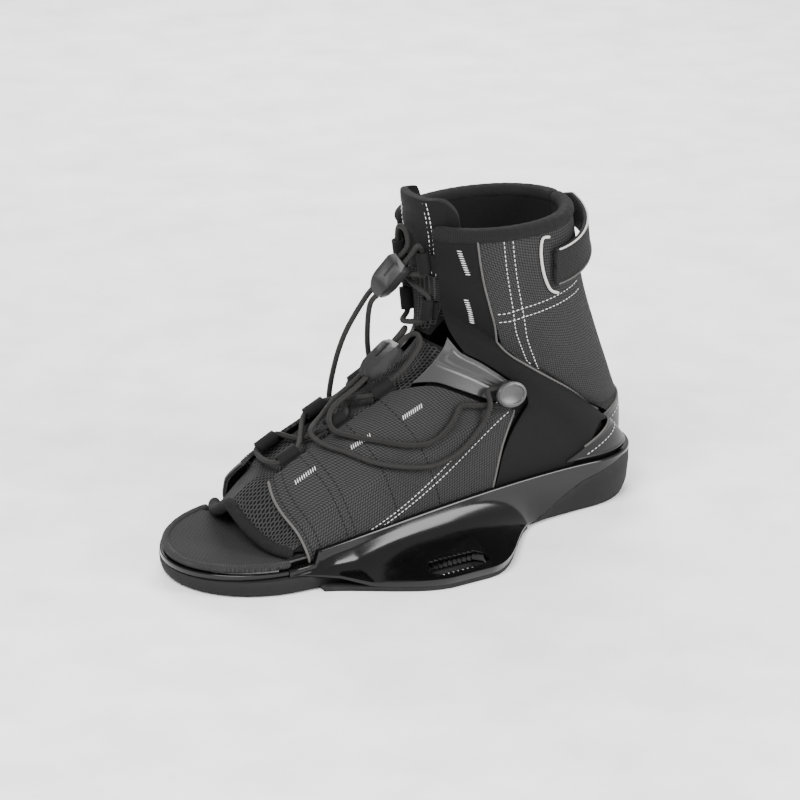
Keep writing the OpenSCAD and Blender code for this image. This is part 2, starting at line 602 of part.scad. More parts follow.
module lock_slider(lock) {
    half = lock_length / 2;
    color("#6a6d73") at_lock(lock) difference() {
        union() {
            translate([-half + 3, -slider_width / 2, -lock_thick / 2])
                cube([slider_length, slider_width, slider_thick]);
            for (i = [0 : 4])
                translate([-half + 4 + 2 * i, -slider_width / 2, -lock_thick / 2 - 0.7])
                    cube([1, slider_width, 0.8]);
        }
        lace_channels(lock_length + 4);
    }
}

// ---- Heel pull strap -----------------------------------------------------------------
// Loop of webbing that leaves the collar through a slot on each side and passes behind it
strap_gap = 6.5;                   // it stands this far off the collar at the back
strap_lean = 0.2;                  // its upper edge leans in to the boot
// One cross row of the strap, s = -1 at the right slot, 0 at the back and 1 at the left slot
function strap_row(s, d) =
    let (t = 1 - abs(s), u = mix(11.2, 11.7, t), v = mix(0.6, 1, t))
    let (p = above(u, v, mix(1.2, strap_gap, smooth(t)) + d), across = unit([strap_lean * t, 0, 1]))
    [for (w = [-0.5, -0.42, 0.42, 0.5]) (s < 0 ? flip(p) : p) + w * strap_width * across];
module heel_pull_strap() {
    rows = [for (i = [12 : -1 : -12]) i / 12];
    color("#2b2b2e") grid_solid([for (s = rows) strap_row(s, strap_thick)],
        [for (s = rows) strap_row(s, 0)]);
}
module strap_slot_trim(side) {
    slot = [[11.72, 0.545], [11.2, 0.56], [10.6, 0.575]];
    uv = [for (s = slot) [for (t = [0, 1]) [s[0], s[1] + 0.016 * t]]];
    color("#b9bbbf") on_side(side) sheet(uv, 0.9, 0.8);
}

// ---- Laces ---------------------------------------------------------------------------
straight = 20;                     // each lace runs straight this far from a lock's middle
function near(p) = [p.x * long, p.y, p.z * tall];
function lock_run(lock, s, x0, x1) =
    [for (x = [x0, mix(x0, x1, 0.5), x1]) lock_point(lock, [x, s * strand, 0])];
function loop_run(i, side, dir) = [for (k = [-1.2, 0, 1.2]) loop_point(i, side, k * dir)];
function on_skin(rows, side) =
    [for (r = rows) let (p = above(r[0], r[1], r[2])) side < 0 ? flip(p) : p];

// Lap round the neck of a button: angle 0 is up the boot and 90 toward the toe
lap_radius = button_neck / 2 + cord_d / 2 + 0.3;
lap_height = 2.6;
lap_up = unit(cross(cross(button_n, [0, 0, 1]), button_n));
lap_front = cross(button_n, lap_up);
function lap_point(a) = button_p + lap_height * button_n
    + lap_radius * (cos(a) * lap_up + sin(a) * lap_front);
function lap(side) =
    [for (a = [50 : -40 : -150]) let (p = lap_point(a)) side < 0 ? flip(p) : p];

// Both tails come to a button from below the saddle and cross on the way
function button_run(side) = concat(
    on_skin([[3.8, 0.63, 2], [4.02, 0.58, 4], [4.17, 0.54, 5.4], [4.36, 0.485, 3.6]], side),
    lap(side),
    on_skin([[4.38, 0.59, 2], [4.2, 0.56, 1.9], [4, 0.53, 1.9]], side));

lower_laced_route = concat(
    lock_run(lower_lock, 1, 0, -straight),
    [near([-4, 9.6, 114]), near([-3, 13.4, 109]), near([6, 14, 99])],
    loop_run(2, 1, -1), [near([36, 0, 82])], loop_run(1, -1, -1),
    [near([64, 0, 68.6])], loop_run(0, 1, -1), [near([88, 0, 58])], loop_run(0, -1, 1),
    [near([64, 0, 64.6])], loop_run(1, 1, 1), [near([36, 0, 78])], loop_run(2, -1, 1),
    [near([6, -9.6, 99]), near([-3, -7, 109]), near([-4, -3, 114])],
    lock_run(lower_lock, -1, -straight, 0));
lower_tail_route = concat(
    lock_run(lower_lock, -1, 0, straight),
    [near([44, 2, 84]), near([54, 6, 78.5])],
    on_skin([[1.82, 0.16, 6.5], [1.8, 0.25, 3.4], [1.95, 0.38, 2], [2.15, 0.53, 2],
        [2.5, 0.64, 2], [2.9, 0.7, 2], [3.35, 0.69, 2]], 1),
    button_run(1),
    on_skin([[3.8, 0.5, 2], [3.5, 0.55, 2], [3.1, 0.585, 2], [2.75, 0.54, 2], [2.45, 0.43, 2],
        [2.2, 0.31, 2.6], [2.08, 0.22, 6.6]], 1),
    [near([50, 9.6, 82])],
    lock_run(lower_lock, 1, straight, 0));
upper_laced_route = concat(
    lock_run(upper_lock, 1, 0, -straight),
    [near([-2, 12.6, 165.4])],
    loop_run(4, 1, -1), [near([-1.4, 0, 146])], loop_run(3, -1, -1), [near([-1, 0, 119.6])],
    loop_run(3, 1, 1), [near([-5, 0, 142])], loop_run(4, -1, 1),
    [near([-3.4, -8, 170.6]), near([-2.6, 0, 170.4])],
    lock_run(upper_lock, -1, -straight, 0));
upper_tail_route = concat(
    lock_run(upper_lock, -1, 0, straight),
    [near([24, -19, 112]), near([29, -23, 92])],
    on_skin([[2.6, 0.4, 2.4], [2.7, 0.55, 2], [2.9, 0.66, 2], [3.3, 0.7, 2]], -1),
    button_run(-1),
    on_skin([[3.8, 0.47, 2], [3.6, 0.36, 2.4], [3.55, 0.27, 3]], -1),
    [near([12, -16, 106])],
    lock_run(upper_lock, 1, straight, 0));

module lace(route) {
    color("#2f2f31") tube(route, cord_d / 2);
}

base_pad();
chassis();
lasting_board();
footbed();
upper_screws();
t_nuts();
mesh_vamp();
toe_binding();
liner(1);  // liner_left
liner(-1);  // liner_right
collar_binding(1);  // collar_binding_left
collar_binding(-1);  // collar_binding_right
forefoot_panel(1);  // forefoot_panel_left
forefoot_panel(-1);  // forefoot_panel_right
flex_saddle(1);  // flex_saddle_left
flex_saddle(-1);  // flex_saddle_right
quarter_panel(1);  // quarter_panel_left
quarter_panel(-1);  // quarter_panel_right
collar_panel(1);  // collar_panel_left
collar_panel(-1);  // collar_panel_right
heel_counter();
tongue();
lace_button(1);  // lace_button_left
lace_button(-1);  // lace_button_right
button_rivet(1);  // button_rivet_left
button_rivet(-1);  // button_rivet_right
lace_loop(1, 0);  // lace_loop_left_1
lace_loop(1, 1);  // lace_loop_left_2
lace_loop(1, 2);  // lace_loop_left_3
lace_loop(1, 3);  // lace_loop_left_4
lace_loop(1, 4);  // lace_loop_left_5
lace_loop(-1, 0);  // lace_loop_right_1
lace_loop(-1, 1);  // lace_loop_right_2
lace_loop(-1, 2);  // lace_loop_right_3
lace_loop(-1, 3);  // lace_loop_right_4
lace_loop(-1, 4);  // lace_loop_right_5
lock_body(lower_lock);  // lower_lock_body
lock_slider(lower_lock);  // lower_lock_slider
lock_body(upper_lock);  // upper_lock_body
lock_slider(upper_lock);  // upper_lock_slider
heel_pull_strap();
strap_slot_trim(1);  // strap_slot_trim_left
strap_slot_trim(-1);  // strap_slot_trim_right
lace(lower_laced_route);  // lower_lace_laced
lace(lower_tail_route);  // lower_lace_tail
lace(upper_laced_route);  // upper_lace_laced
lace(upper_tail_route);  // upper_lace_tail
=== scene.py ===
"""Open-toe wakeboard binding: a laced boot on its moulded chassis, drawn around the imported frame."""
import math
import bmesh
import bpy
import numpy as np
from mathutils import Matrix, Vector


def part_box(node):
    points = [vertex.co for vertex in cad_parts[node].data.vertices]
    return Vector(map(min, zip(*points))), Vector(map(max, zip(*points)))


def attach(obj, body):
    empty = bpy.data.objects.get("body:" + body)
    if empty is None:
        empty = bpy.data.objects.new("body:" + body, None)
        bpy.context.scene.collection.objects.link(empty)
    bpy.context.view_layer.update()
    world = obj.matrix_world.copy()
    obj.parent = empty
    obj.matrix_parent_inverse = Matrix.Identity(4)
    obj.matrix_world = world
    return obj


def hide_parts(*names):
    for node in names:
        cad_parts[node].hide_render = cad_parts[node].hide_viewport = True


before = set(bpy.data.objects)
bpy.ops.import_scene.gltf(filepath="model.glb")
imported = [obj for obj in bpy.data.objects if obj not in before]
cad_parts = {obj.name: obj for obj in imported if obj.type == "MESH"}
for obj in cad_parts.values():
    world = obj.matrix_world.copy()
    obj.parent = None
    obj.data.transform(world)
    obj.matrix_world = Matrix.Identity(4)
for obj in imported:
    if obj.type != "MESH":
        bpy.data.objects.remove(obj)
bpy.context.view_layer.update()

# ---- Driving sizes, in millimetres, read from the frame ---------------------------------
MM = 0.001


def node_box(name):
    """Lowest and highest corner of a CAD node, in millimetres."""
    return [np.array(corner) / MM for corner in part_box(name)]


chassis_low, chassis_high = node_box("chassis")
bed_low, bed_high = node_box("footbed")
tongue_high = node_box("tongue")[1]

toe_x = chassis_high[0]
base_length = chassis_high[0] - chassis_low[0]
long = base_length / 292           # stretch of the boot along X
tall = tongue_high[2] / 190.4      # stretch of the boot along Z
base_width = bed_high[1] - bed_low[1] + 4.4
heel_width = 78
ball_x = 88 * long                 # the toe cap starts here
heel_cap = 0.55 * heel_width       # depth of the rounded heel
heel_x = heel_cap - toe_x
deck_toe, deck_heel, deck_thick = 12.2, 20.0, 3.0
board_thick, footbed_thick = 1.2, 2.2
rail_wall, rail_height = 3.4, 29.0
rail_front = 82 * long             # the rails start here with a step
rail_gap = rail_wall + 0.4         # the boot stands this far inside the outline
wing_x = 12
wing_reach = chassis_high[1]
slot_y = wing_reach - 12           # centre line of the toothed windows
panel_thick = 2.0
liner_out = -panel_thick - 1.7
liner_thick = 3.6
cord_d = 3.0
SIDES = ((1, "left"), (-1, "right"))

# ---- Small helpers ----------------------------------------------------------------------


def mix(a, b, t):
    return a + (b - a) * t


def smooth(t):
    c = np.clip(t, 0, 1)
    return c * c * (3 - 2 * c)


def unit(v):
    return v / np.linalg.norm(v, axis=-1, keepdims=True)


def curve(rows, u):
    """Catmull-Rom curve through the rows of a table, with one row at each whole number."""
    rows = np.asarray(rows, float)
    u = np.asarray(u, float)
    top = len(rows) - 1
    i = np.clip(np.floor(u).astype(int), 0, top - 1)
    t = (u - i)[..., None]
    a, b, c, d = rows[np.maximum(i - 1, 0)], rows[i], rows[i + 1], rows[np.minimum(i + 2, top)]
    return (2 * b + (c - a) * t + (2 * a - 5 * b + 4 * c - d) * t ** 2
            + (3 * b - a - 3 * c + d) * t ** 3) / 2


def smooth_path(points, steps):
    """Smooth path through a list of points, with a number of steps to each stretch."""
    return curve(points, np.linspace(0, len(points) - 1, (len(points) - 1) * steps + 1))


def even_path(points, gap):
    """The same path walked in equal steps; any columns after x, y and z are carried along."""
    points = np.asarray(points, float)
    walked = np.r_[0, np.cumsum(np.linalg.norm(np.diff(points[:, :3], axis=0), axis=1))]
    stops = np.linspace(0, walked[-1], max(2, int(round(walked[-1] / gap)) + 1))
    return np.stack([np.interp(stops, walked, points[:, k]) for k in range(points.shape[1])], 1)


# ---- Boot form, the same sections as the CAD ---------------------------------------------
# u runs from the toe opening (0) up the instep to the throat (5), round the heel and up to
# the collar rim (12). v runs from the ridge (0) to the rail or the back seam (1).
ridge = [[107, 41], [90, 58], [60, 73], [30, 87], [5, 101], [-6, 114], [-8, 125], [-8, 134],
         [-7, 142], [-6, 150], [-5, 158], [-4, 166], [-3, 174], [-2, 184], [-1, 192]]
rail_share = [[1], [0.867], [0.682], [0.477], [0.246], [0]]
rail_open = 92 * long
seam = [[-142.2, 21], [-140, 47], [-133, 68], [-122, 97], [-111, 130], [-103, 173],
        [-101, 183], [-99, 191]]
pulls = [[20, 2, 14], [24, 2, 23], [24, 1, 32], [25, 1, 40], [27, 2, 48], [31, 4, 43],
         [38, 17, 32], [46, 36, 16], [51, 45, 4], [53, 48, 0], [52, 50, 0], [53, 52, 0],
         [53, 53, 0], [53, 53, 0], [53, 53, 0]]


def deck_z(x):
    return mix(deck_toe, deck_heel, (toe_x - x) / base_length)


def side_y(x):
    return mix(base_width, heel_width, smooth((ball_x - x) / (ball_x - heel_x))) / 2


def foot_point(u):
    """Foot of the section at u: on the rail, round the heel, then up the back seam."""
    x = mix(heel_x, rail_open, curve(rail_share, np.minimum(u, 5))[..., 0])
    rail = np.stack([x, side_y(x) - rail_gap, deck_z(x) + 0.4], -1)
    a = np.radians(45) * (u - 5)
    x = heel_x - (heel_cap - rail_gap) * np.sin(a)
    heel = np.stack([x, (heel_width / 2 - rail_gap) * np.cos(a), deck_z(x) + 0.4], -1)
    s = curve(seam, np.maximum(u - 7, 0))
    back = np.stack([s[..., 0] * long, 0 * u, s[..., 1] * tall], -1)
    u = u[..., None]
    return np.where(u <= 5, rail, np.where(u <= 7, heel, back))


def skin(u, v):
    u, v = np.broadcast_arrays(np.asarray(u, float), np.asarray(v, float))
    r, p, foot = curve(ridge, u), curve(pulls, u), foot_point(u)
    zero = 0 * u
    top = np.stack([r[..., 0] * long, zero, r[..., 1] * tall], -1)
    pull_top = np.stack([zero, p[..., 0], zero], -1)
    pull_foot = np.stack([zero, p[..., 1], p[..., 2]], -1)
    v = v[..., None]
    w = 1 - v
    return (w ** 3 * top + 3 * w * w * v * (top + pull_top)
            + 3 * w * v * v * (foot + pull_foot) + v ** 3 * foot)


def outward(u, v):
    u, v = np.broadcast_arrays(np.asarray(u, float), np.asarray(v, float))
    du = skin(u + 0.02, v) - skin(u - 0.02, v)
    dv = skin(u, v + 0.01) - skin(u, v - 0.01)
    n = np.cross(dv, du)
    middle = (v <= 0) | ((v >= 1) & (u >= 7))
    n[..., 1] = np.where(middle, 0, n[..., 1])
    return unit(n)


def above(u, v, d=0.0):
    """Point a distance d outside the skin; a negative v lies on the boot's right."""
    v = np.asarray(v, float)
    p = skin(u, np.abs(v)) + np.asarray(d, float)[..., None] * outward(u, np.abs(v))
    p[..., 1] *= np.where(v < 0, -1, 1)
    return p


def normal_at(u, v):
    n = outward(u, np.abs(v))
    n[..., 1] *= np.where(np.asarray(v) < 0, -1, 1)
    return n


# ---- Making meshes ----------------------------------------------------------------------


def new_piece(name, points, faces, uv=None):
    """Mesh object from points in millimetres; uv gives one pair for each point."""
    mesh = bpy.data.meshes.new(name)
    mesh.from_pydata([tuple(p) for p in np.asarray(points, float) * MM], [], faces)
    if uv is not None:
        layer = mesh.uv_layers.new(name="UVMap")
        flat = np.array([uv[loop.vertex_index] for loop in mesh.loops], float)
        layer.data.foreach_set("uv", flat.ravel())
    obj = bpy.data.objects.new(name, mesh)
    bpy.context.scene.collection.objects.link(obj)
    return obj


def only(obj):
    bpy.ops.object.select_all(action="DESELECT")
    obj.select_set(True)
    bpy.context.view_layer.objects.active = obj


def face_outward(obj):
    """Turns all normals of a closed mesh outward."""
    bm = bmesh.new()
    bm.from_mesh(obj.data)
    bmesh.ops.recalc_face_normals(bm, faces=bm.faces)
    if bm.calc_volume(signed=True) < 0:
        bmesh.ops.reverse_faces(bm, faces=bm.faces)
    bm.to_mesh(obj.data)
    bm.free()


def smooth_by_angle(obj, degrees=35):
    only(obj)
    bpy.ops.object.shade_smooth_by_angle(angle=math.radians(degrees))


def apply_modifier(obj, kind, **values):
    modifier = obj.modifiers.new(kind.title(), kind)
    for key, value in values.items():
        setattr(modifier, key, value)
    only(obj)
    bpy.ops.object.modifier_apply(modifier=modifier.name)


def soften(obj, width, segments=2, degrees=35):
    """Rounds the sharp edges of a piece."""
    apply_modifier(obj, "BEVEL", width=width * MM, segments=segments, limit_method="ANGLE",
                   angle_limit=math.radians(degrees), harden_normals=False)
    smooth_by_angle(obj, 50)


def dress(obj, material, body="boot", replaces=()):
    """Gives a finished piece its material and body, and hides the CAD nodes it stands for."""
    obj.data.materials.clear()
    obj.data.materials.append(material)
    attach(obj, body)
    if replaces:
        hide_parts(*replaces)
    return obj


def grid_faces(rows, cols, first=0):
    return [(first + i * cols + j, first + i * cols + j + 1, first + (i + 1) * cols + j + 1,
             first + (i + 1) * cols + j) for i in range(rows - 1) for j in range(cols - 1)]


def grid_uv(points):
    """Texture place of each grid point: distance walked along its row and column, in metres."""
    across = np.linalg.norm(np.diff(points, axis=1), axis=2)
    down = np.linalg.norm(np.diff(points, axis=0), axis=2)
    x = np.concatenate([np.zeros((len(points), 1)), np.cumsum(across, 1)], 1)
    y = np.concatenate([np.zeros((1, points.shape[1])), np.cumsum(down, 0)], 0)
    x = x - x.mean(1, keepdims=True)
    y = y - y.mean(0, keepdims=True)
    return np.stack([x, y], -1) * MM


def shell(name, outer, inner):
    """Closed piece between two grids of points with the same rows and columns."""
    rows, cols = outer.shape[:2]
    n = rows * cols
    faces = grid_faces(rows, cols) + [f[::-1] for f in grid_faces(rows, cols, n)]
    loop = ([(0, j) for j in range(cols)] + [(i, cols - 1) for i in range(1, rows)]
            + [(rows - 1, j) for j in range(cols - 2, -1, -1)] + [(i, 0) for i in range(rows - 2, 0, -1)])
    ring = [i * cols + j for i, j in loop]
    for a, b in zip(ring, ring[1:] + ring[:1]):
        faces.append((a, n + a, n + b, b))
    uv = grid_uv(outer).reshape(-1, 2)
    obj = new_piece(name, np.concatenate([outer.reshape(-1, 3), inner.reshape(-1, 3)]), faces,
                    np.concatenate([uv, uv]))
    face_outward(obj)
    return obj


def border(rows, count):
    return curve(rows, np.linspace(0, len(rows) - 1, count))


def uv_between(front, rear, rows, cols):
    """Grid of (u, v) pairs between two smooth border lines."""
    t = np.linspace(0, 1, cols)[None, :, None]
    return mix(border(front, rows)[:, None], border(rear, rows)[:, None], t)


def carried_frames(points):
    """Directions along a path with a side vector carried round without twist."""
    dirs = unit(np.gradient(points, axis=0))
    sides = [unit(np.cross(dirs[0], [0.31, 0.52, 0.79]))]
    for d in dirs[1:]:
        s = sides[-1] - (sides[-1] @ d) * d
        sides.append(unit(s))
    return dirs, np.array(sides)


def tube(name, points, radius, sides=12, flat=1.0, up=None):
    """Round or oval cord along a path with closed, rounded ends."""
    points = np.asarray(points, float)
    dirs, spans = carried_frames(points)
    if up is not None:
        spans = unit(np.cross(dirs, up))
    others = np.cross(dirs, spans)
    radii = np.broadcast_to(radius, len(points)).astype(float)
    cap = [(-0.9, 0.45), (-0.5, 0.87)]
    centres = [points[0] + s * radii[0] * dirs[0] for s, _ in cap] + list(points)
    widths = [w * radii[0] for _, w in cap] + list(radii)
    centres += [points[-1] - s * radii[-1] * dirs[-1] for s, _ in cap[::-1]]
    widths += [w * radii[-1] for _, w in cap[::-1]]
    side = np.concatenate([[spans[0]] * 2, spans, [spans[-1]] * 2])
    other = np.concatenate([[others[0]] * 2, others, [others[-1]] * 2])
    a = np.linspace(0, 2 * np.pi, sides, endpoint=False)
    rings = [c + w * (np.cos(a)[:, None] * s + flat * np.sin(a)[:, None] * o)
             for c, w, s, o in zip(centres, widths, side, other)]
    n = len(rings)
    faces = [(i * sides + j, (i + 1) * sides + j, (i + 1) * sides + (j + 1) % sides,
              i * sides + (j + 1) % sides) for i in range(n - 1) for j in range(sides)]
    faces += [tuple(range(sides)), tuple((n - 1) * sides + j for j in range(sides))[::-1]]
    walked = np.r_[0, np.cumsum(np.linalg.norm(np.diff(centres, axis=0), axis=1))] * MM
    uv = [(w, j / sides) for w in walked for j in range(sides)]
    obj = new_piece(name, np.concatenate(rings), faces, uv)
    face_outward(obj)
    obj.data.shade_smooth()
    return obj


def skin_line(rows, side, lift, gap=1.5):
    """Path along the skin through (u, v) pairs, in equal steps."""
    uv = smooth_path(rows, 12)
    points = above(uv[:, 0], side * uv[:, 1], lift + 0 * uv[:, 0])
    return even_path(points, gap)


def joined(name, objs):
    """One piece made of several."""
    bpy.ops.object.select_all(action="DESELECT")
    for obj in objs:
        obj.select_set(True)
    bpy.context.view_layer.objects.active = objs[0]
    if len(objs) > 1:
        bpy.ops.object.join()
    objs[0].name = name
    return objs[0]


def one_stitch():
    """A single stitch along X: a fat thread that dives into the cloth at both ends."""
    bpy.ops.object.select_all(action="DESELECT")
    bpy.ops.mesh.primitive_uv_sphere_add(segments=8, ring_count=5, radius=1)
    ball = bpy.context.object
    ball.rotation_euler = (0, math.pi / 2, 0)
    bpy.ops.object.transform_apply(rotation=True)
    points = np.array([v.co for v in ball.data.vertices])
    faces = [tuple(p.vertices) for p in ball.data.polygons]
    bpy.data.objects.remove(ball)
    return points, faces


STITCH = one_stitch()


def stitches(name, lines, side, material, lift=0.1, pitch=2.6, length=1.8, thread=0.28, slant=0,
             body="boot"):
    """Rows of stitches along lines of (u, v) pairs; slant turns each stitch across its line."""
    points, faces = [], []
    unit_points, unit_faces = STITCH
    size = np.array([length / 2, thread, thread])
    turned = math.radians(slant)
    for rows in lines:
        uv = smooth_path(rows, 16)
        marks = np.concatenate([above(uv[:, 0], side * uv[:, 1], lift + 0 * uv[:, 0]), uv], 1)
        marks = even_path(marks, pitch)
        normals = normal_at(marks[:, 3], side * marks[:, 4])
        forward = unit(np.gradient(marks[:, :3], axis=0))
        across = unit(np.cross(normals, forward))
        for centre, n, x, y in zip(marks[:, :3], normals, forward, across):
            along = math.cos(turned) * x + math.sin(turned) * y
            turn = np.stack([along, unit(np.cross(n, along)), n], 1)
            first = sum(map(len, points))
            points.append(centre + (unit_points * size) @ turn.T)
            faces += [tuple(first + k for k in f) for f in unit_faces]
    obj = new_piece(name, np.concatenate(points), faces)
    face_outward(obj)
    obj.data.shade_smooth()
    return dress(obj, material, body)


# ---- Materials --------------------------------------------------------------------------


def new_group(name, inputs, outputs):
    """Shader node group with named float or vector inputs and outputs."""
    group = bpy.data.node_groups.new(name, "ShaderNodeTree")
    for label, kind, value in inputs:
        socket = group.interface.new_socket(label, in_out="INPUT", socket_type="NodeSocket" + kind)
        if kind == "Float":
            socket.default_value = value
    for label, kind in outputs:
        group.interface.new_socket(label, in_out="OUTPUT", socket_type="NodeSocket" + kind)
    return group, group.nodes.new("NodeGroupInput"), group.nodes.new("NodeGroupOutput")


def plug(tree, socket, value):
    """Joins a socket to another one, or gives it a constant."""
    if isinstance(value, bpy.types.NodeSocket):
        tree.links.new(value, socket)
    else:
        socket.default_value = value


def maths(tree, operation, *values):
    node = tree.nodes.new("ShaderNodeMath")
    node.operation = operation
    for socket, value in zip(node.inputs, values):
        plug(tree, socket, value)
    return node.outputs[0]


def make_weave_group():
    """Plain weave: threads go over and under each other on a square pitch."""
    group, given, out = new_group("weave", [("Vector", "Vector", None), ("Pitch", "Float", 0.0016)],
                                  [("Height", "Float"), ("Gap", "Float")])
    split = group.nodes.new("ShaderNodeSeparateXYZ")
    plug(group, split.inputs[0], given.outputs["Vector"])
    waves = []
    for axis in (0, 1):
        turned = maths(group, "DIVIDE", split.outputs[axis], given.outputs["Pitch"])
        waves.append(maths(group, "SINE", maths(group, "MULTIPLY", turned, math.pi)))
    ribs = [maths(group, "ABSOLUTE", wave) for wave in waves]
    over = maths(group, "GREATER_THAN", maths(group, "MULTIPLY", waves[0], waves[1]), 0.0)
    under = maths(group, "SUBTRACT", 1.0, over)
    both = [maths(group, "MULTIPLY", ribs[a], maths(group, "MULTIPLY_ADD", ribs[b], 0.4, 0.6))
            for a, b in ((0, 1), (1, 0))]
    # this height sets the bump, and also the painted shade in the gaps and painted highlight on the tops in
    # the cloth and braid colours
    height = maths(group, "ADD", maths(group, "MULTIPLY", over, both[0]),
                   maths(group, "MULTIPLY", under, both[1]))
    plug(group, out.inputs["Height"], height)
    plug(group, out.inputs["Gap"], maths(group, "LESS_THAN", height, 0.32))
    return group


def make_grain_group():
    """Uneven surface at two sizes: fine grain, and broad patches."""
    group, given, out = new_group("grain", [("Fine", "Float", 900), ("Broad", "Float", 25)],
                                  [("Grain", "Float"), ("Patch", "Float")])
    place = group.nodes.new("ShaderNodeTexCoord")
    for label, detail, result in (("Fine", 3, "Grain"), ("Broad", 4, "Patch")):
        noise = group.nodes.new("ShaderNodeTexNoise")
        plug(group, noise.inputs["Vector"], place.outputs["Object"])
        plug(group, noise.inputs["Scale"], given.outputs[label])
        noise.inputs["Detail"].default_value = detail
        plug(group, out.inputs[result], noise.outputs["Fac"])
    return group


def make_wear_group():
    """Mask of edges that stand out and get rubbed, broken up by noise."""
    group, given, out = new_group("edge_wear", [("Start", "Float", 0.53), ("Breakup", "Float", 180)],
                                  [("Worn", "Float")])
    shape = group.nodes.new("ShaderNodeNewGeometry")
    place = group.nodes.new("ShaderNodeTexCoord")
    noise = group.nodes.new("ShaderNodeTexNoise")
    plug(group, noise.inputs["Vector"], place.outputs["Object"])
    plug(group, noise.inputs["Scale"], given.outputs["Breakup"])
    ramp = maths(group, "MULTIPLY",
                 maths(group, "SUBTRACT", shape.outputs["Pointiness"], given.outputs["Start"]), 14.0)
    broken = maths(group, "MULTIPLY", ramp, noise.outputs["Fac"])
    node = group.nodes.new("ShaderNodeClamp")
    plug(group, node.inputs[0], broken)
    plug(group, out.inputs["Worn"], node.outputs[0])
    return group


WEAVE = make_weave_group()
GRAIN = make_grain_group()
WEAR = make_wear_group()


def placed(tree, group, **values):
    node = tree.nodes.new("ShaderNodeGroup")
    node.node_tree = group
    for label, value in values.items():
        plug(tree, node.inputs[label], value)
    return node


def mixed(tree, share, a, b):
    node = tree.nodes.new("ShaderNodeMix")
    node.data_type = "RGBA"
    plug(tree, node.inputs["Factor"], share)
    plug(tree, node.inputs["A"], a)
    plug(tree, node.inputs["B"], b)
    return node.outputs["Result"]


def bumped(tree, height, depth, normal=None):
    node = tree.nodes.new("ShaderNodeBump")
    node.inputs["Distance"].default_value = depth * MM
    plug(tree, node.inputs["Height"], height)
    if normal is not None:
        plug(tree, node.inputs["Normal"], normal)
    return node.outputs["Normal"]


def new_material(name, roughness, **sockets):
    material = bpy.data.materials.new(name)
    material.use_nodes = True
    tree = material.node_tree
    surface = tree.nodes["Principled BSDF"]
    surface.inputs["Roughness"].default_value = roughness
    for label, value in sockets.items():
        surface.inputs[label.replace("_", " ")].default_value = value
    return material, tree, surface


def grey(value, warmth=0.0):
    return (value * (1 + warmth), value, value * (1 - warmth * 0.6), 1)


def cloth(name, dark, light, pitch, depth, roughness=0.85, sheen=0.015, by_uv=True):
    """Woven fabric: the colour follows the weave's height, with painted shade in the gaps between threads
    and a painted highlight on top of them.
    """
    material, tree, surface = new_material(name, roughness, Sheen_Weight=sheen, Sheen_Roughness=0.5,
                                           Specular_IOR_Level=0.12)
    place = tree.nodes.new("ShaderNodeTexCoord")
    weave = placed(tree, WEAVE, Vector=place.outputs["UV" if by_uv else "Object"], Pitch=pitch * MM)
    grain = placed(tree, GRAIN, Fine=1400.0, Broad=32.0)
    # painted shade and painted highlight: the thread colour runs from dark in the weave gaps to light on
    # the thread tops
    thread = mixed(tree, weave.outputs["Height"], grey(dark), grey(light))
    patch = maths(tree, "MULTIPLY_ADD", grain.outputs["Patch"], 0.5, -0.1)
    plug(tree, surface.inputs["Base Color"], mixed(tree, patch, thread, grey(dark * 1.3)))
    rough = maths(tree, "MULTIPLY_ADD", grain.outputs["Grain"], 0.2, roughness - 0.1)
    plug(tree, surface.inputs["Roughness"], rough)
    normal = bumped(tree, weave.outputs["Height"], depth)
    plug(tree, surface.inputs["Normal"], bumped(tree, grain.outputs["Grain"], depth * 0.35, normal))
    return material


def moulded(name, base, worn, roughness, depth=0.03, fine=700.0, shine=0.22, wear_start=0.53, metallic=0.0):
    """Moulded plastic, foam, rubber or plated steel with fine grain and rubbed edges."""
    material, tree, surface = new_material(name, roughness, Specular_IOR_Level=shine,
                                           Metallic=metallic)
    grain = placed(tree, GRAIN, Fine=fine, Broad=22.0)
    wear = placed(tree, WEAR, Start=wear_start)
    patch = mixed(tree, grain.outputs["Patch"], grey(base * 0.8), grey(base * 1.2))
    plug(tree, surface.inputs["Base Color"], mixed(tree, wear.outputs["Worn"], patch, grey(worn)))
    rough = maths(tree, "MULTIPLY_ADD", grain.outputs["Patch"], 0.16, roughness - 0.08)
    plug(tree, surface.inputs["Roughness"], rough)
    plug(tree, surface.inputs["Normal"], bumped(tree, grain.outputs["Grain"], depth))
    return material


def braided(name, dark, light, pitch, depth):
    """Braid on a cord: its UV runs along the cord in metres and once round it. Its colour follows the
    braid's height, with painted shade where the strands dip under each other and a painted highlight on
    their crowns.
    """
    material, tree, surface = new_material(name, 0.7, Sheen_Weight=0.01, Sheen_Roughness=0.4,
                                           Specular_IOR_Level=0.14)
    place = tree.nodes.new("ShaderNodeTexCoord")
    split = tree.nodes.new("ShaderNodeSeparateXYZ")
    plug(tree, split.inputs[0], place.outputs["UV"])
    turns = maths(tree, "MULTIPLY", split.outputs[1], 8 * pitch * MM)
    crossed = tree.nodes.new("ShaderNodeCombineXYZ")
    plug(tree, crossed.inputs[0], maths(tree, "ADD", split.outputs[0], turns))
    plug(tree, crossed.inputs[1], maths(tree, "SUBTRACT", split.outputs[0], turns))
    weave = placed(tree, WEAVE, Vector=crossed.outputs[0], Pitch=pitch * MM)
    grain = placed(tree, GRAIN, Fine=1600.0, Broad=60.0)
    # painted shade and painted highlight: the colour runs from dark where strands dip under to light on
    # their crowns
    thread = mixed(tree, weave.outputs["Height"], grey(dark), grey(light, 0.06))
    fleck = maths(tree, "MULTIPLY", grain.outputs["Patch"], 0.4)
    plug(tree, surface.inputs["Base Color"], mixed(tree, fleck, thread, grey(light * 0.8)))
    plug(tree, surface.inputs["Normal"], bumped(tree, weave.outputs["Height"], depth))
    return material


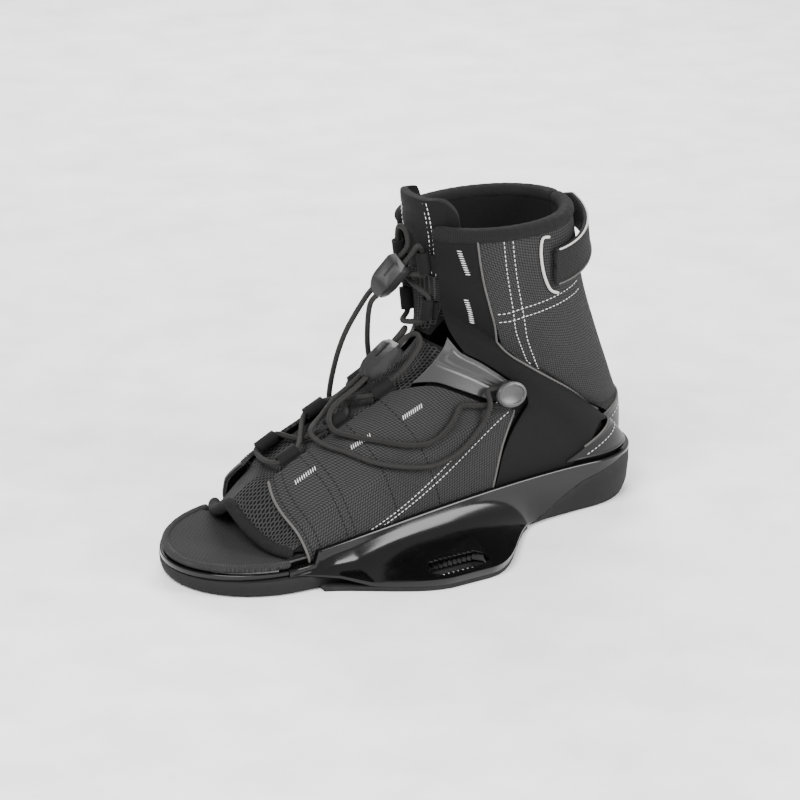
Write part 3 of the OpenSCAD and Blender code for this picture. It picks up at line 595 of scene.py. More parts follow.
panel_cloth = cloth("woven_panel", 0.005, 0.046, 1.7, 0.35)
quarter_cloth = cloth("smooth_quarter", 0.003, 0.006, 0.7, 0.05, 0.66, 0.004)
liner_cloth = cloth("lining", 0.004, 0.012, 1.0, 0.15, 0.9, 0.02)
roll_cloth = cloth("padded_roll", 0.005, 0.018, 1.1, 0.18, 0.85, 0.02)
tongue_cloth = cloth("tongue_face", 0.004, 0.010, 0.9, 0.1, 0.85, 0.02)
backing_cloth = cloth("vamp_backing", 0.004, 0.012, 1.2, 0.1)
bed_cloth = cloth("footbed_cover", 0.009, 0.034, 1.5, 0.3, 0.9, 0.02, by_uv=False)
webbing_cloth = cloth("webbing", 0.005, 0.016, 1.3, 0.22, 0.75, 0.02)
mesh_thread = moulded("mesh_thread", 0.022, 0.045, 0.7, 0.05)
gloss_black = moulded("chassis_gloss", 0.0018, 0.008, 0.14, 0.003, 300.0, 0.35, 0.56)
foam_grey = moulded("base_foam", 0.010, 0.022, 0.85, 0.12, 1100.0)
saddle_grey = moulded("saddle_satin", 0.020, 0.05, 0.33, 0.03, 900.0, 0.6)
counter_black = moulded("counter_moulded", 0.007, 0.02, 0.38, 0.05, 1000.0)
button_grey = moulded("button_satin", 0.030, 0.09, 0.32, 0.02, shine=0.6)
lock_grey = moulded("lock_shell", 0.013, 0.05, 0.42, 0.04, 800.0)
slider_grey = moulded("slider_shell", 0.018, 0.06, 0.45, 0.04, 800.0)
board_brown = moulded("lasting_board", 0.14, 0.2, 0.8, 0.05)
steel = moulded("steel", 0.5, 0.7, 0.3, 0.01, 400.0, metallic=1.0)
edge_tape = cloth("edge_tape", 0.014, 0.050, 1.3, 0.2)
pale_cord = braided("pale_piping", 0.30, 0.62, 0.9, 0.06)
grey_cord = braided("grey_piping", 0.035, 0.11, 0.9, 0.06)
white_thread = braided("white_thread", 0.55, 0.82, 0.5, 0.04)
black_thread = braided("black_thread", 0.003, 0.008, 0.5, 0.04)
lace_braid = braided("lace_braid", 0.004, 0.030, 1.1, 0.22)

# ---- Camera, light and floor ------------------------------------------------------------


def look_from(azimuth, elevation, distance, target, lens):
    """Camera at an angle round the object, level with the horizon."""
    a, e = math.radians(azimuth), math.radians(elevation)
    back = Vector((math.sin(a) * math.cos(e), -math.cos(a) * math.cos(e), math.sin(e)))
    camera = bpy.data.cameras.new("camera")
    camera.lens = lens
    camera.sensor_width = 36
    camera.clip_end = 20
    obj = bpy.data.objects.new("camera", camera)
    bpy.context.scene.collection.objects.link(obj)
    obj.location = Vector(target) + back * distance
    obj.rotation_euler = back.to_track_quat("Z", "Y").to_euler()
    bpy.context.scene.camera = obj


def soft_light(name, place, size, power):
    light = bpy.data.lights.new(name, "AREA")
    light.shape = "RECTANGLE"
    light.size, light.size_y = size
    light.energy = power
    obj = bpy.data.objects.new(name, light)
    bpy.context.scene.collection.objects.link(obj)
    obj.location = place
    aim = Vector(place) - Vector((0, 0, 0.08))
    obj.rotation_euler = aim.to_track_quat("Z", "Y").to_euler()


def studio():
    look_from(azimuth=148, elevation=21.3, distance=1.8, target=(0.001, 0, 0.074), lens=148.2)
    soft_light("key", (0.9, 0.5, 1.3), (0.8, 0.8), 40)
    soft_light("side", (-0.9, 1.2, 0.8), (0.5, 1.2), 30)
    soft_light("low_strip", (0.9, 1.5, 0.28), (1.3, 0.10), 6)
    soft_light("back", (-0.6, -1.1, 1.0), (0.9, 0.5), 26)
    world = bpy.data.worlds.new("studio")
    bpy.context.scene.world = world
    world.use_nodes = True
    world.node_tree.nodes["Background"].inputs["Color"].default_value = (1, 1, 1, 1)
    world.node_tree.nodes["Background"].inputs["Strength"].default_value = 0.75
    floor = new_piece("floor", [(-4000, -4000, -0.3), (4000, -4000, -0.3), (4000, 4000, -0.3),
                                (-4000, 4000, -0.3)], [(0, 1, 2, 3)])
    floor.data.materials.append(moulded("floor_paint", 0.92, 0.92, 0.9, 0.01))


# ---- Laces ------------------------------------------------------------------------------
button_at = (4.57, 0.53)
button_neck = 8.0
loop_length = 12.0
strand = 2.6
straight = 20
loops = [(1.35, 0.155, 0.3), (2.3, 0.155, 0.3), (3.25, 0.155, 0.3), (6.55, 0.082, 1.5), (9.9, 0.082, 1.5)]
lower_lock = ((16, 3, 101), (0, 35, 0))
upper_lock = ((7, -2, 146), (-60, 53, -50))
button_n = outward(*button_at)
button_p = above(*button_at, 0.55)


def near(x, y, z):
    return np.array([x * long, y, z * tall])


def flipped(p, side):
    return np.array([p[0], side * p[1], p[2]])


def loop_run(i, side, direction):
    """Three points on the axis of a lace loop, in the direction that the lace takes."""
    u, v, d = loops[i]
    along = unit(skin(u + 0.2, v) - skin(u - 0.2, v))
    return [flipped(above(u, v, d) + share * direction * loop_length / 2 * along, side)
            for share in (-1.2, 0, 1.2)]


def lock_run(lock, s, x0, x1):
    """Straight stretch of lace through a lock, s = -1 or 1 for the channel."""
    turn = np.array(Matrix.Rotation(math.radians(lock[1][2]), 3, "Z")
                    @ Matrix.Rotation(math.radians(lock[1][1]), 3, "Y")
                    @ Matrix.Rotation(math.radians(lock[1][0]), 3, "X"))
    return [near(*lock[0]) + turn @ np.array([x, s * strand, 0]) for x in np.linspace(x0, x1, 3)]


def on_skin(rows, side):
    return [flipped(above(u, v, d), side) for u, v, d in rows]


def button_lap(side):
    """Lap round the neck of a button: angle 0 is up the boot and 90 toward the toe."""
    radius = button_neck / 2 + cord_d / 2 + 0.3
    up = unit(np.cross(np.cross(button_n, [0, 0, 1]), button_n))
    front = np.cross(button_n, up)
    angles = np.radians(np.arange(50, -151, -40))
    return [flipped(button_p + 2.6 * button_n + radius * (np.cos(a) * up + np.sin(a) * front), side)
            for a in angles]


def button_run(side):
    """Both tails come to a button from below the saddle and cross on the way."""
    return (on_skin([(3.8, 0.63, 2), (4.02, 0.58, 4), (4.17, 0.54, 5.4), (4.36, 0.485, 3.6)], side)
            + button_lap(side)
            + on_skin([(4.38, 0.59, 2), (4.2, 0.56, 1.9), (4, 0.53, 1.9)], side))


lace_routes = {
    "lower_lace_laced": [
        *lock_run(lower_lock, 1, 0, -straight), near(-4, 9.6, 114), near(-3, 13.4, 109),
        near(6, 14, 99), *loop_run(2, 1, -1), near(36, 0, 82), *loop_run(1, -1, -1),
        near(64, 0, 68.6), *loop_run(0, 1, -1), near(88, 0, 58), *loop_run(0, -1, 1),
        near(64, 0, 64.6), *loop_run(1, 1, 1), near(36, 0, 78), *loop_run(2, -1, 1),
        near(6, -9.6, 99), near(-3, -7, 109), near(-4, -3, 114),
        *lock_run(lower_lock, -1, -straight, 0)],
    "lower_lace_tail": [
        *lock_run(lower_lock, -1, 0, straight), near(44, 2, 84), near(54, 6, 78.5),
        *on_skin([(1.82, 0.16, 6.5), (1.8, 0.25, 3.4), (1.95, 0.38, 2), (2.15, 0.53, 2),
                  (2.5, 0.64, 2), (2.9, 0.7, 2), (3.35, 0.69, 2)], 1),
        *button_run(1),
        *on_skin([(3.8, 0.5, 2), (3.5, 0.55, 2), (3.1, 0.585, 2), (2.75, 0.54, 2),
                  (2.45, 0.43, 2), (2.2, 0.31, 2.6), (2.08, 0.22, 6.6)], 1),
        near(50, 9.6, 82), *lock_run(lower_lock, 1, straight, 0)],
    "upper_lace_laced": [
        *lock_run(upper_lock, 1, 0, -straight), near(-2, 12.6, 165.4), *loop_run(4, 1, -1),
        near(-1.4, 0, 146), *loop_run(3, -1, -1), near(-1, 0, 119.6), *loop_run(3, 1, 1),
        near(-5, 0, 142), *loop_run(4, -1, 1), near(-3.4, -8, 170.6), near(-2.6, 0, 170.4),
        *lock_run(upper_lock, -1, -straight, 0)],
    "upper_lace_tail": [
        *lock_run(upper_lock, -1, 0, straight), near(24, -19, 112), near(29, -23, 92),
        *on_skin([(2.6, 0.4, 2.4), (2.7, 0.55, 2), (2.9, 0.66, 2), (3.3, 0.7, 2)], -1),
        *button_run(-1),
        *on_skin([(3.8, 0.47, 2), (3.6, 0.36, 2.4), (3.55, 0.27, 3)], -1),
        near(12, -16, 106), *lock_run(upper_lock, 1, straight, 0)],
}


def make_laces():
    for node, route in lace_routes.items():
        path = even_path(smooth_path(route, 10), 1.0)
        obj = tube("braided_" + node, path, cord_d / 2, 14)
        dress(obj, lace_braid, "boot", (node,))


# ---- Outer panels -----------------------------------------------------------------------


def rim(v):
    """Top border of everything that ends under the collar roll."""
    return (12 - mix(0.3, 0.04, v), v)


forefoot_front = [(0.75, 0.22), (0.55, 0.34), (0.42, 0.48), (0.36, 0.66), (0.3, 0.84), (0.32, 0.99)]
forefoot_rear = [(3.3, 0.22), (3.6, 0.28), (3.85, 0.35), (4, 0.45), (4.15, 0.54), (4.4, 0.62),
                 (4.1, 0.7), (3.85, 0.78), (3.65, 0.88), (3.5, 0.99)]
quarter_front = [rim(0.13), (9, 0.13), (7, 0.14), (5.8, 0.19), (5.12, 0.28), (5.08, 0.36),
                 (5.02, 0.45), (4.95, 0.52), (4.72, 0.60), (4.44, 0.65), (4.13, 0.72), (3.86, 0.80),
                 (3.68, 0.89), (3.53, 0.99)]
quarter_rear = [rim(0.31), (9.4, 0.31), (8, 0.32), (6.85, 0.34), (6.3, 0.38), (6.2, 0.44),
                (6.3, 0.52), (6.75, 0.61), (7.15, 0.7), (6.6, 0.74), (5.75, 0.76), (5, 0.87),
                (4.35, 0.99)]
collar_front = [rim(0.315), (9.4, 0.315), (8, 0.325), (7.0, 0.352), (6.5, 0.395), (6.32, 0.44),
                (6.42, 0.51), (6.86, 0.6), (7.26, 0.69), (7.42, 0.79)]
collar_rear = [rim(0.995), (10.4, 0.995), (9.9, 0.995), (9.5, 0.995), (9.3, 0.995), (9.1, 0.995),
               (9, 0.995), (8.95, 0.995), (8.9, 0.99), (8.7, 0.98)]
saddle_upper = [(5.35, 0.2), (5, 0.28), (4.98, 0.36), (4.92, 0.44), (4.85, 0.5), (4.65, 0.59)]
saddle_lower = [(3.65, 0.255), (3.92, 0.33), (4.06, 0.42), (4.2, 0.5), (4.32, 0.55), (4.42, 0.59)]


def side_uv(front, rear, rows, cols, side):
    """Grids of u and of v between two borders, on one side of the boot."""
    uv = uv_between(front, rear, rows, cols)
    return uv[..., 0], side * uv[..., 1]


def panel(name, node, material, front, rear, side, rows=90, cols=50):
    """Fabric panel stretched over the skin between two borders."""
    u, v = side_uv(front, rear, rows, cols, side)
    outer = above(u, v, 0 * u)
    obj = shell(name, outer, above(u, v, 0 * u - panel_thick))
    soften(obj, 0.6, 2)
    dress(obj, material, "boot", (node,))
    return obj


def make_panels(side, hand):
    panel("woven_forefoot_" + hand, "forefoot_panel_" + hand, panel_cloth,
          forefoot_front, forefoot_rear, side)
    panel("smooth_quarter_" + hand, "quarter_panel_" + hand, quarter_cloth,
          quarter_front, quarter_rear, side, 130, 30)
    panel("woven_collar_" + hand, "collar_panel_" + hand, panel_cloth,
          collar_front, collar_rear, side, 90, 70)
    make_saddle(side, hand)


def make_saddle(side, hand):
    """Moulded flex saddle: a raised field along its middle, with a low border round it."""
    rows, cols = 70, 40
    u, v = side_uv(saddle_lower, saddle_upper, rows, cols, side)
    s = np.linspace(0, 1, rows)[:, None]
    t = np.linspace(0, 1, cols)[None, :]
    raised = smooth((t - 0.52) / 0.06) * smooth((0.88 - t) / 0.06) * smooth((s - 0.08) / 0.05)
    raised = raised * smooth((0.86 - s) / 0.05)
    groove = np.exp(-((t - 0.40) / 0.025) ** 2) * smooth((0.9 - s) / 0.1)
    outer = above(u, v, 0.2 + 0.55 * raised - 0.4 * groove)
    obj = shell("saddle_plate_" + hand, outer, above(u, v, 0 * u + 0.2 - panel_thick))
    soften(obj, 0.5, 2)
    dress(obj, saddle_grey, "boot", ("flex_saddle_" + hand,))


def skin_height(u, v):
    return skin(u, v)[..., 2]


def halved(still_before, low, high, steps=14):
    """The value between low and high at which a test stops being true, found by halving."""
    for _ in range(steps):
        middle = (low + high) / 2
        if still_before(middle):
            low = middle
        else:
            high = middle
    return middle


def v_at(u, z):
    """The v at which section u comes down to a height z."""
    return halved(lambda v: skin_height(u, v) > z, 0.5, 1.0, 12)


def u_at(v, z):
    """The u at which the line of constant v climbs to a height z."""
    return halved(lambda u: skin_height(u, v) < z, 6.0, 12.0)


over_rail = rail_height + 2
counter_x, counter_rise = -84, 0.52   # the counter's top edge leaves the rail here, at this slope


def v_on_slope(u):
    """The v at which section u meets the straight edge that climbs from the rail to the heel."""
    def over_edge(v):
        x, _, z = skin(u, v)
        return z > over_rail + counter_rise * (counter_x - x)
    return halved(over_edge, 0.5, 1.0)


counter_us = [4.62, 5.0, 5.4, 5.9, 6.4, 6.9, 7.4, 7.9, 8.35]
counter_top = [*[(u, v_on_slope(u)) for u in counter_us], (8.6, 1)]
counter_bottom = [*[(u, v_at(u, over_rail)) for u in (4.6, 4.9, 5.3, 5.7, 6.1, 6.4, 6.65, 6.85, 7.0)],
                  (7.36, 1)]


def make_counter():
    """Heel counter: one moulded piece that wraps both sides of the heel."""
    half = uv_between(counter_bottom, counter_top, 60, 26)
    u = np.concatenate([half[..., 0], half[-2::-1, :, 0]])
    v = np.concatenate([half[..., 1], -half[-2::-1, :, 1]])
    t = np.linspace(0, 1, 26)[None, :]
    lip = 0.35 * smooth((0.12 - t) / 0.1) + 0.3 * smooth((t - 0.9) / 0.06)
    obj = shell("moulded_counter", above(u, v, 0.8 + lip + 0 * u), above(u, v, 0 * u + 0.06))
    soften(obj, 0.5, 2)
    dress(obj, counter_black, "boot", ("heel_counter",))


# ---- Seams ------------------------------------------------------------------------------


def lines_beside(rows, *gaps):
    """The same (u, v) line several times, each moved across by its own gap in v."""
    return [[(u, v + gap) for u, v in rows] for gap in gaps]


def make_seams(side, hand):
    fore = [(1.1, 0.95), (2.2, 0.84), (3.3, 0.70), (4.3, 0.56)]
    fore_low = [(1.4, 0.95), (2.5, 0.83), (3.5, 0.71), (4.3, 0.62)]
    upright = [(11.8, 0.41), (10, 0.40), (8.2, 0.39), (6.85, 0.44)]
    upright_rear = [(11.8, 0.445), (10, 0.435), (8.2, 0.425), (7.0, 0.47)]
    cross, cross_low = [[(u_at(v, (z + 8 * (v - 0.34) / 0.4) * tall), v)
                         for v in (0.34, 0.42, 0.5, 0.58, 0.66, 0.74)] for z in (126, 121)]
    stitches("light_stitching_" + hand, [fore, fore_low, upright, upright_rear, cross, cross_low],
             side, white_thread)
    counter_line = [(u, v + 0.035) for u, v in counter_top[1:-2]]
    front = [(u + 0.12, v) for u, v in forefoot_front]
    front_inner = [(u + 0.32, v) for u, v in forefoot_front]
    bands = [[(u0, 0.24), (u0 - 0.1, 0.5), (u0 - 0.25, 0.75), (u0 - 0.3, 0.97)]
             for u0 in (1.45, 1.6, 2.35, 3.05)]
    quarter_line = [(u - 0.16, v) for u, v in quarter_rear[1:9]]
    stitches("dark_stitching_" + hand, [front, front_inner, *bands, quarter_line], side,
             black_thread)
    stitches("counter_stitching_" + hand, [counter_line], side, white_thread, lift=1.0, thread=0.22)
    tacks = [[(1.05, 0.36), (1.45, 0.36)], [(2.1, 0.38), (2.45, 0.38)], [(3.05, 0.395), (3.4, 0.395)],
             [(11.25, 0.235), (10.2, 0.255)], [(8.6, 0.23), (7.3, 0.25)]]
    stitches("bar_tacks_" + hand, tacks, side, white_thread, lift=0.15, pitch=1.45, length=2.9,
             thread=0.3, slant=66)
    for name, rows, radius, material in (
            ("forefoot_piping_", forefoot_front, 0.75, grey_cord),
            ("flank_piping_", forefoot_rear[5:], 0.6, grey_cord),
            ("collar_piping_", quarter_rear[:9], 0.6, grey_cord),
            ("counter_piping_", counter_top[1:-1], 0.65, grey_cord)):
        path = skin_line(rows, side, 0.5 if name == "counter_piping_" else 0.15)
        dress(tube(name + hand, path, radius, 8), material)


# ---- Liner, rolls, vamp and tongue ------------------------------------------------------
liner_front = [rim(0.2), (10, 0.2), (8, 0.2), (6.5, 0.21), (5.6, 0.24), (5, 0.3), (4, 0.31),
               (3, 0.31), (2, 0.31), (1, 0.32), (0.92, 0.5), (0.9, 0.75), (0.9, 0.98)]
liner_rear = [rim(1), (11, 1), (10, 1), (9, 1), (8, 1), (7.3, 1), (6.4, 1), (5.6, 1), (4.8, 1),
              (3.8, 1), (2.8, 1), (1.9, 1), (1.1, 1)]
vamp_rows = [(0.04, 0.78), (0.25, 0.84), (0.45, 0.92), (0.65, 0.9), (0.82, 0.5), (0.95, 0.27),
             (1.4, 0.26), (2, 0.26), (2.6, 0.26), (3.2, 0.26), (3.8, 0.26), (4.4, 0.25),
             (4.85, 0.24)]
tongue_foot, tongue_top = 5.05, 13.6
tongue_thick = 4.6
tuck = liner_out - liner_thick - 0.7


def make_liner(side, hand):
    """Padded liner: its inner face is quilted in shallow channels that run up the boot."""
    rows, cols = 120, 60
    u, v = side_uv(liner_front, liner_rear, rows, cols, side)
    t = np.linspace(0, 1, cols)[None, :]
    swell = 0.35 * np.abs(np.sin(math.pi * 5 * t)) + 0 * u
    outer = above(u, v, 0 * u + liner_out)
    inner = above(u, v, liner_out - liner_thick + 0.35 - swell)
    for points in (outer, inner):
        points[..., 1] += side * 0.15
    obj = shell("padded_liner_" + hand, outer, inner)
    soften(obj, 0.9, 3)
    dress(obj, liner_cloth, "boot", ("liner_" + hand,))


def padded_roll(name, path, radius, flat=1.0, up=None):
    """Soft roll: fullest between its stitches, drawn in a little at each of them."""
    path = even_path(path, 1.0)
    walked = np.arange(len(path))
    swell = radius * (1 + 0.035 * np.abs(np.sin(math.pi * walked / 6.5)) - 0.02)
    return tube(name, path, swell, 20, flat, up)


def make_collar_roll(side, hand):
    v = np.linspace(0.15, 0.985, 40)
    edge = above(rim(v)[0] + 0.06, side * v, -3.2 + 0 * v)
    edge[:, 1] += side * 0.2
    obj = padded_roll("collar_roll_" + hand, edge, 4.3)
    dress(obj, roll_cloth, "boot", ("collar_binding_" + hand,))


def vamp_point(u, v, d):
    """Point on the vamp: like the skin, but the toe opening sags on both sides."""
    front = 1 - smooth(u / 0.9)
    dip = 8 * np.sin(math.pi * np.minimum(np.abs(v) / 0.85, 1))
    p = above(u, v, d)
    p[..., 0] += 3 * long * front
    p[..., 2] -= dip * front
    return p


def vamp_half(u):
    """How far the vamp reaches from the ridge at each u."""
    return np.interp(u, [r[0] for r in vamp_rows], [r[1] for r in vamp_rows])


def vamp_depth(u, v):
    sunk = 6 * smooth((u - 0.2) / 1.2) * (1 - (v / vamp_half(u)) ** 2)
    return liner_out - 0.4 - sunk


def lattice(name, surface, half, u_range, cell_u, cell_v, thread, material, body):
    """Open mesh of threads round long six-sided holes, laid on a surface."""
    corners = [(-0.5, 0.17), (-0.5, 0.83), (0.0, 1.17), (0.5, 0.83), (0.5, 0.17), (0.0, -0.17)]
    keys, faces = {}, []
    rows = int((u_range[1] - u_range[0]) / cell_u)
    reach = int(1.0 / cell_v) + 1
    for i in range(rows):
        for j in range(-reach, reach):
            centre_u = u_range[0] + (i + 0.5) * cell_u
            shift = 0.5 * (j % 2)
            face = []
            for du, dv in corners:
                u = centre_u + (du + shift) * cell_u
                v = (j * 0.75 + dv * 0.66) * cell_v
                face.append((round(u, 4), round(v, 4)))
            middle = np.mean(face, 0)
            if abs(middle[1]) < half(middle[0]) - cell_v * 0.5 and max(p[0] for p in face) < u_range[1]:
                faces.append([keys.setdefault(p, len(keys)) for p in face])
    uv = np.array(list(keys))
    obj = new_piece(name, surface(uv[:, 0], uv[:, 1]), faces)
    apply_modifier(obj, "WIREFRAME", thickness=thread * MM, use_even_offset=True, use_boundary=True)
    obj.data.shade_smooth()
    return dress(obj, material, body)


def make_vamp():
    """Air mesh over the toes and instep: a dark backing with an open lattice on it."""
    marks = np.linspace(0, len(vamp_rows) - 1, 90)
    u = np.interp(marks, np.arange(len(vamp_rows)), [r[0] for r in vamp_rows])[:, None]
    share = np.linspace(1, -1, 61)[None, :]
    v = vamp_half(u) * share
    u = u + 0 * v
    depth = liner_out - 0.9 - 6 * smooth((u - 0.2) / 1.2) * (1 - share ** 2)
    obj = shell("vamp_backing", vamp_point(u, v, depth), vamp_point(u, v, depth - 1.8))
    soften(obj, 0.4, 2)
    dress(obj, backing_cloth, "boot", ("mesh_vamp",))
    lattice("vamp_lattice", lambda u, v: vamp_point(u, v, vamp_depth(u, v)),
            lambda u: vamp_half(u), (0.0, 4.8), 0.098, 0.034, 0.75, mesh_thread, "boot")


def make_toe_roll():
    share = np.linspace(-1, 1, 60)
    edge = vamp_point(-0.10 + 0.1 * share ** 4, 0.80 * share, liner_out - 0.6 + 0 * share)
    clear = edge[:, 2] - (deck_z(edge[:, 0]) + board_thick + footbed_thick + 2.6)
    edge[:, 2] += np.log1p(np.exp(-clear))
    obj = padded_roll("toe_roll", edge, 3.3)
    dress(obj, roll_cloth, "boot", ("toe_binding",))


def tongue_half(u):
    half = np.minimum(0.24, 0.12 + 0.05 * (u - tongue_foot))
    fall = np.clip((u - 12.2) / (tongue_top - 12.2), 0, 1)
    return half * np.sqrt(1 - 0.72 * fall ** 2.5)


def tongue_depth(v):
    return mix(-2.8, tuck, smooth((np.abs(v) - 0.09) / 0.09))


def make_tongue():
    """Padded tongue with a crown, two rows of stitches and open mesh at its foot."""
    u = np.linspace(tongue_foot, tongue_top, 130)[:, None]
    share = np.linspace(1, -1, 61)[None, :]
    v = tongue_half(u) * share
    u = u + 0 * v
    puff = 0.5 * np.abs(np.sin(math.pi * (u - tongue_foot) * 0.8)) * (1 - share ** 2)
    outer = above(u, v, tongue_depth(v) + puff - 0.5)
    obj = shell("padded_tongue", outer, above(u, v, tongue_depth(v) - tongue_thick))
    soften(obj, 1.4, 3)
    dress(obj, tongue_cloth, "tongue", ("tongue",))
    lattice("tongue_lattice", lambda u, v: above(u, v, tongue_depth(v) + 0.15),
            lambda u: tongue_half(u) * 0.9, (5.2, 8.8), 0.17, 0.034, 0.7, mesh_thread,
            "tongue")
    edge = [(13.35, 0.10), (12, 0.115), (10.5, 0.115), (9, 0.11)]
    for side, hand in SIDES:
        rows = stitches("tongue_stitching_" + hand, lines_beside(edge, 0, -0.02), side,
                        white_thread, lift=-3.2, body="tongue")


# ---- Chassis and footbed ----------------------------------------------------------------
wing_front, wing_rear = 88 * long, 77 * long
flat_front, flat_rear = 8, 14      # the wing keeps its full reach this far from its middle
window_low, window_high = -5, 40   # the window cutters pass right through a wing
rail_tip = 100 * long
skirt_step = 1.6
deck_inset = 2.5


def wing_share(x):
    if x > wing_x:
        return 1 - smooth((x - wing_x - flat_front) / (wing_front - flat_front))
    return 1 - smooth((wing_x - x - flat_rear) / (wing_rear - flat_rear))


def rail_top(x):
    if x > rail_front + 2:
        return deck_z(x) + 0.4
    return rail_height - (8 * ((x + 80) / 162) ** 2 if x > -80 else 2 * ((x + 80) / 61) ** 2)


def skirt_low(x):
    """Lower border of the glossy moulding, where the foam base shows under it."""
    at = [-146, -125, -112, -94, -81, -70, -62, 60, 74, 96]
    low = [rail_height - 2.6, rail_height - 3.2, rail_height - 6, 18.5, 12.5, 6, 2.6, 2.6, 7, 10]
    return min(rail_top(x) - 2.2, np.interp(x / long, at, low))


def rail_section(x):
    """Section through rail and wing: pairs of distance outside the outline, and height."""
    top, low, k = rail_top(x), skirt_low(x), wing_share(x)
    e = k * (wing_reach - side_y(x))
    under = deck_z(x) - deck_thick - 0.3
    tip = low + 0.6 + 3.6 * k
    drop = top - 1 - tip
    t = np.linspace(0.08, 0.96, 14)
    fade = 1 - t
    out = e * (0.12 * fade ** 2 * t + 1.02 * fade * t ** 2 + t ** 3)
    down = tip + drop * (fade ** 3 + 1.26 * fade ** 2 * t + 0.48 * fade * t ** 2)
    return [(-rail_wall, under), (-rail_wall, top - 0.8), (-rail_wall + 0.25, top - 0.25),
            (0.8 - rail_wall, top), (-0.8, top), (-0.22, top - 0.3), (0, top - 1),
            *zip(out, down), (e, tip), (e - 0.2 * k, tip - 0.5), (e - 1.2 * k, low),
            (0.45 * e - 0.7, low + 2.2 * k), (0.18 * e - 1.2, low + 5.5 * k),
            (-skirt_step, min(low + 6.5 * k, under + 4)), (-skirt_step, under)]


def outline_point(x, d):
    return (x, side_y(x) + d)


def heel_arc(a, d):
    return (heel_x - (heel_cap + d) * math.sin(a), (heel_width / 2 + d) * math.cos(a))


def make_rail_band():
    """Glossy moulding: a section swept from the toe along one side, round the heel and back."""
    xs = [rail_tip, 94 * long, ball_x, rail_front + 2.2, *np.linspace(rail_front, heel_x, 110)]
    half = [[(*outline_point(x, s), z) for s, z in rail_section(x)] for x in xs]
    for a in np.radians(np.arange(2, 90, 2)):
        x = heel_x - heel_cap * math.sin(a)
        half.append([(*heel_arc(a, s), z) for s, z in rail_section(x)])
    rings = np.array(half)
    rings = np.concatenate([rings, rings[::-1] * [1, -1, 1]])
    count, sides = rings.shape[:2]
    faces = [(i * sides + j, i * sides + (j + 1) % sides, (i + 1) * sides + (j + 1) % sides,
              (i + 1) * sides + j) for i in range(count - 1) for j in range(sides)]
    faces += [tuple(range(sides)), tuple((count - 1) * sides + j for j in range(sides))]
    band = new_piece("rail_band", rings.reshape(-1, 3), faces)
    face_outward(band)
    return band


def prism(name, outline, low, high):
    """Upright prism on a closed outline; low and high give heights by x."""
    n = len(outline)
    points = [(x, y, low(x)) for x, y in outline] + [(x, y, high(x)) for x, y in outline]
    faces = [(i, (i + 1) % n, n + (i + 1) % n, n + i) for i in range(n)]
    faces += [tuple(range(n))[::-1], tuple(range(n, 2 * n))]
    obj = new_piece(name, points, faces)
    face_outward(obj)
    return obj


def slot_outline(side):
    """Toothed window in a wing, with plain ends narrower than its toothed stretch."""
    half, width, end = 18, 7.5, 3
    teeth, pitch, depth = 9, 3, 1.4
    start = -teeth * pitch / 2
    edge = []
    for i in range(teeth):
        edge += [(start + i * pitch, width), (start + (i + 0.5) * pitch, width - depth)]
    edge.append((start + teeth * pitch, width))
    ring = [(-half, -end), (-half, end), *edge, (half, end), (half, -end),
            *[(x, -y) for x, y in edge[::-1]]]
    return [(wing_x + x, side * slot_y + y) for x, y in ring]


def cut(obj, cutter):
    apply_modifier(obj, "BOOLEAN", object=cutter, operation="DIFFERENCE", solver="EXACT")
    bpy.data.objects.remove(cutter)


def half_deck(toe_inset, inset, split):
    """Half of a plan: its toe, then its side and heel with their own inset."""
    toe = [(ball_x + (toe_x - ball_x - toe_inset) * math.cos(a), (base_width / 2 - toe_inset) * math.sin(a))
           for a in np.radians(np.arange(0, 91, 3))]
    side = [outline_point(x, -inset) for x in np.linspace(split, heel_x, 40)]
    heel = [heel_arc(a, -inset) for a in np.radians(np.arange(6, 91, 6))]
    return [p for p in toe if p[0] > split + 3] + side + heel


def full_plan(half):
    return half + [(x, -y) for x, y in half[-2:0:-1]]


def make_chassis():
    band = make_rail_band()
    for side, hand in SIDES:
        cut(band, prism("window_" + hand, slot_outline(side), lambda x: window_low,
                        lambda x: window_high))
    soften(band, 0.35, 2, 55)
    deck = prism("deck", full_plan(half_deck(0.02, deck_inset, 84 * long)),
                 lambda x: deck_z(x) - deck_thick, deck_z)
    soften(deck, 0.5, 2)
    chassis = joined("moulded_chassis", [band, deck])
    dress(chassis, gloss_black, "boot", ("chassis",))


def make_footbed_edge():
    """Lighter tape round the front edge of the footbed."""
    half = [p for p in half_deck(3.4, 3.4, 84 * long) if p[0] > 98 * long]
    plan = np.array([(x, -y) for x, y in half[:0:-1]] + half)
    top = deck_z(plan[:, 0]) + board_thick + footbed_thick * 0.55
    path = even_path(smooth_path(np.c_[plan, top], 4), 1.5)
    obj = tube("footbed_edge", path, 2.3, 14)
    dress(obj, edge_tape)


# ---- Refined copies of moulded and metal parts ------------------------------------------


def refined(name, node, material, body="boot", width=0.5, segments=2):
    """Copy of a CAD part with clean faces and rounded edges."""
    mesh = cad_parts[node].data.copy()
    obj = bpy.data.objects.new(name, mesh)
    bpy.context.scene.collection.objects.link(obj)
    bm = bmesh.new()
    bm.from_mesh(mesh)
    bmesh.ops.remove_doubles(bm, verts=bm.verts, dist=1e-6)
    bmesh.ops.dissolve_limit(bm, angle_limit=math.radians(1), verts=bm.verts, edges=bm.edges)
    bm.to_mesh(mesh)
    bm.free()
    if width:
        soften(obj, width, segments)
    else:
        smooth_by_angle(obj, 35)
    return dress(obj, material, body, (node,))


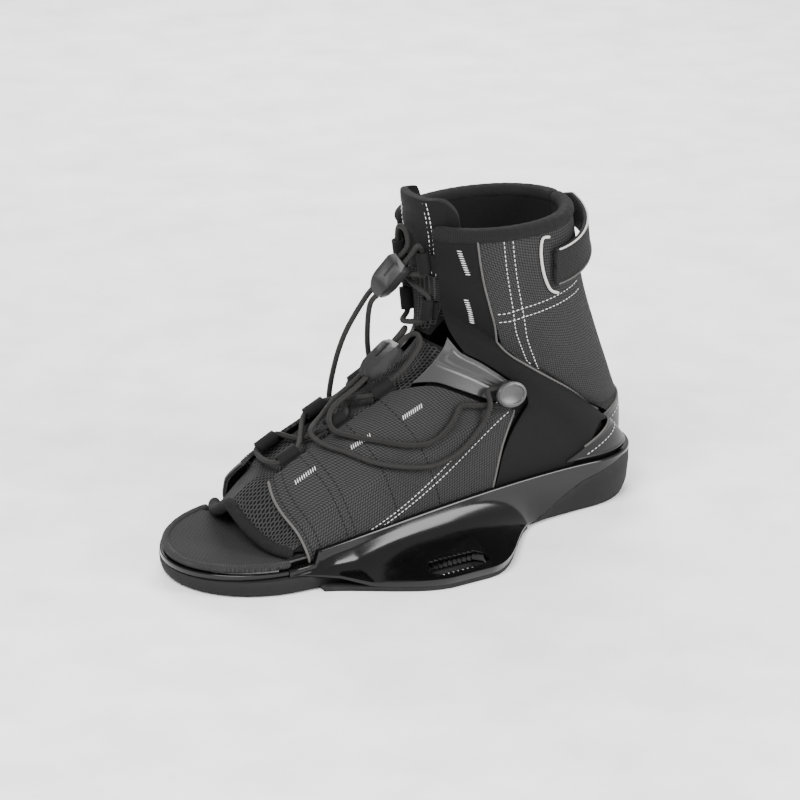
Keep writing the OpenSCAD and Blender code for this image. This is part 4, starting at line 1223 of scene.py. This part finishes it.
def make_hard_parts():
    refined("foam_base", "base_pad", foam_grey, width=0)
    refined("footbed_sheet", "footbed", bed_cloth, width=0.6)
    refined("lasting_sheet", "lasting_board", board_brown, width=0.2)
    refined("screws", "upper_screws", steel, width=0.3)
    refined("flanged_nuts", "t_nuts", steel, width=0.2)
    for lock in ("lower", "upper"):
        refined(lock + "_lock_shell", lock + "_lock_body", lock_grey, lock + "_lock", 0.5, 3)
        refined(lock + "_lock_button", lock + "_lock_slider", slider_grey,
                lock + "_slider", 0.3, 2)
    for _, hand in SIDES:
        refined("button_" + hand, "lace_button_" + hand, button_grey, width=0.35)
        refined("rivet_" + hand, "button_rivet_" + hand, steel, width=0.3)
        for i in range(1, 6):
            refined(f"webbing_loop_{hand}_{i}", f"lace_loop_{hand}_{i}", webbing_cloth, width=0.3)


# ---- Heel pull strap --------------------------------------------------------------------
strap_width = 21.0
strap_thick = 2.6


def strap_rows(s, d, shares):
    """Cross rows of the strap: s is -1 at the right slot, 0 behind the boot, 1 at the left."""
    t = 1 - np.abs(s)
    p = above(mix(11.2, 11.7, t), mix(0.6, 1, t), mix(1.2, 6.5, smooth(t)) + d)
    p[:, 1] *= np.where(s < 0, -1, 1)
    across = unit(np.stack([0.2 * t, 0 * t, 1 + 0 * t], -1))
    return p[:, None] + np.asarray(shares)[None, :, None] * strap_width * across[:, None]


def make_strap():
    s = np.linspace(1, -1, 97)
    shares = np.linspace(-0.5, 0.5, 25)
    crown = 0.35 * (1 - (2 * np.abs(shares)) ** 6)
    outer = np.stack([strap_rows(s, strap_thick - 0.35 + c, [w])[:, 0] for w, c in zip(shares, crown)], 1)
    obj = shell("pull_strap_webbing", outer, strap_rows(s, 0.1, shares))
    soften(obj, 0.7, 3)
    dress(obj, webbing_cloth, "pull_strap", ("heel_pull_strap",))
    for name, share in (("upper", 0.47), ("lower", -0.47)):
        path = even_path(strap_rows(s[2:-2], strap_thick - 0.1, [share])[:, 0], 1.5)
        dress(tube(f"pull_strap_{name}_piping", path, 0.55, 8), pale_cord if name == "upper" else grey_cord,
              "pull_strap")


def make_slot_trim(side, hand):
    """Pale U-shaped trim round the slot that the strap leaves through."""
    rows = [(11.72, 0.60), (11.70, 0.568), (11.4, 0.552), (11.0, 0.553), (10.66, 0.568), (10.62, 0.60)]
    path = skin_line(rows, side, 0.75, 1.0)
    obj = tube("slot_trim_" + hand, path, 0.8, 10)
    dress(obj, pale_cord, "boot", ("strap_slot_trim_" + hand,))


# ---- The whole binding ------------------------------------------------------------------
studio()
make_laces()
for side, hand in SIDES:
    make_panels(side, hand)
    make_seams(side, hand)
    make_liner(side, hand)
    make_collar_roll(side, hand)
    make_slot_trim(side, hand)
make_counter()
make_vamp()
make_toe_roll()
make_tongue()
make_chassis()
make_footbed_edge()
make_hard_parts()
make_strap()

bpy.context.view_layer.update()
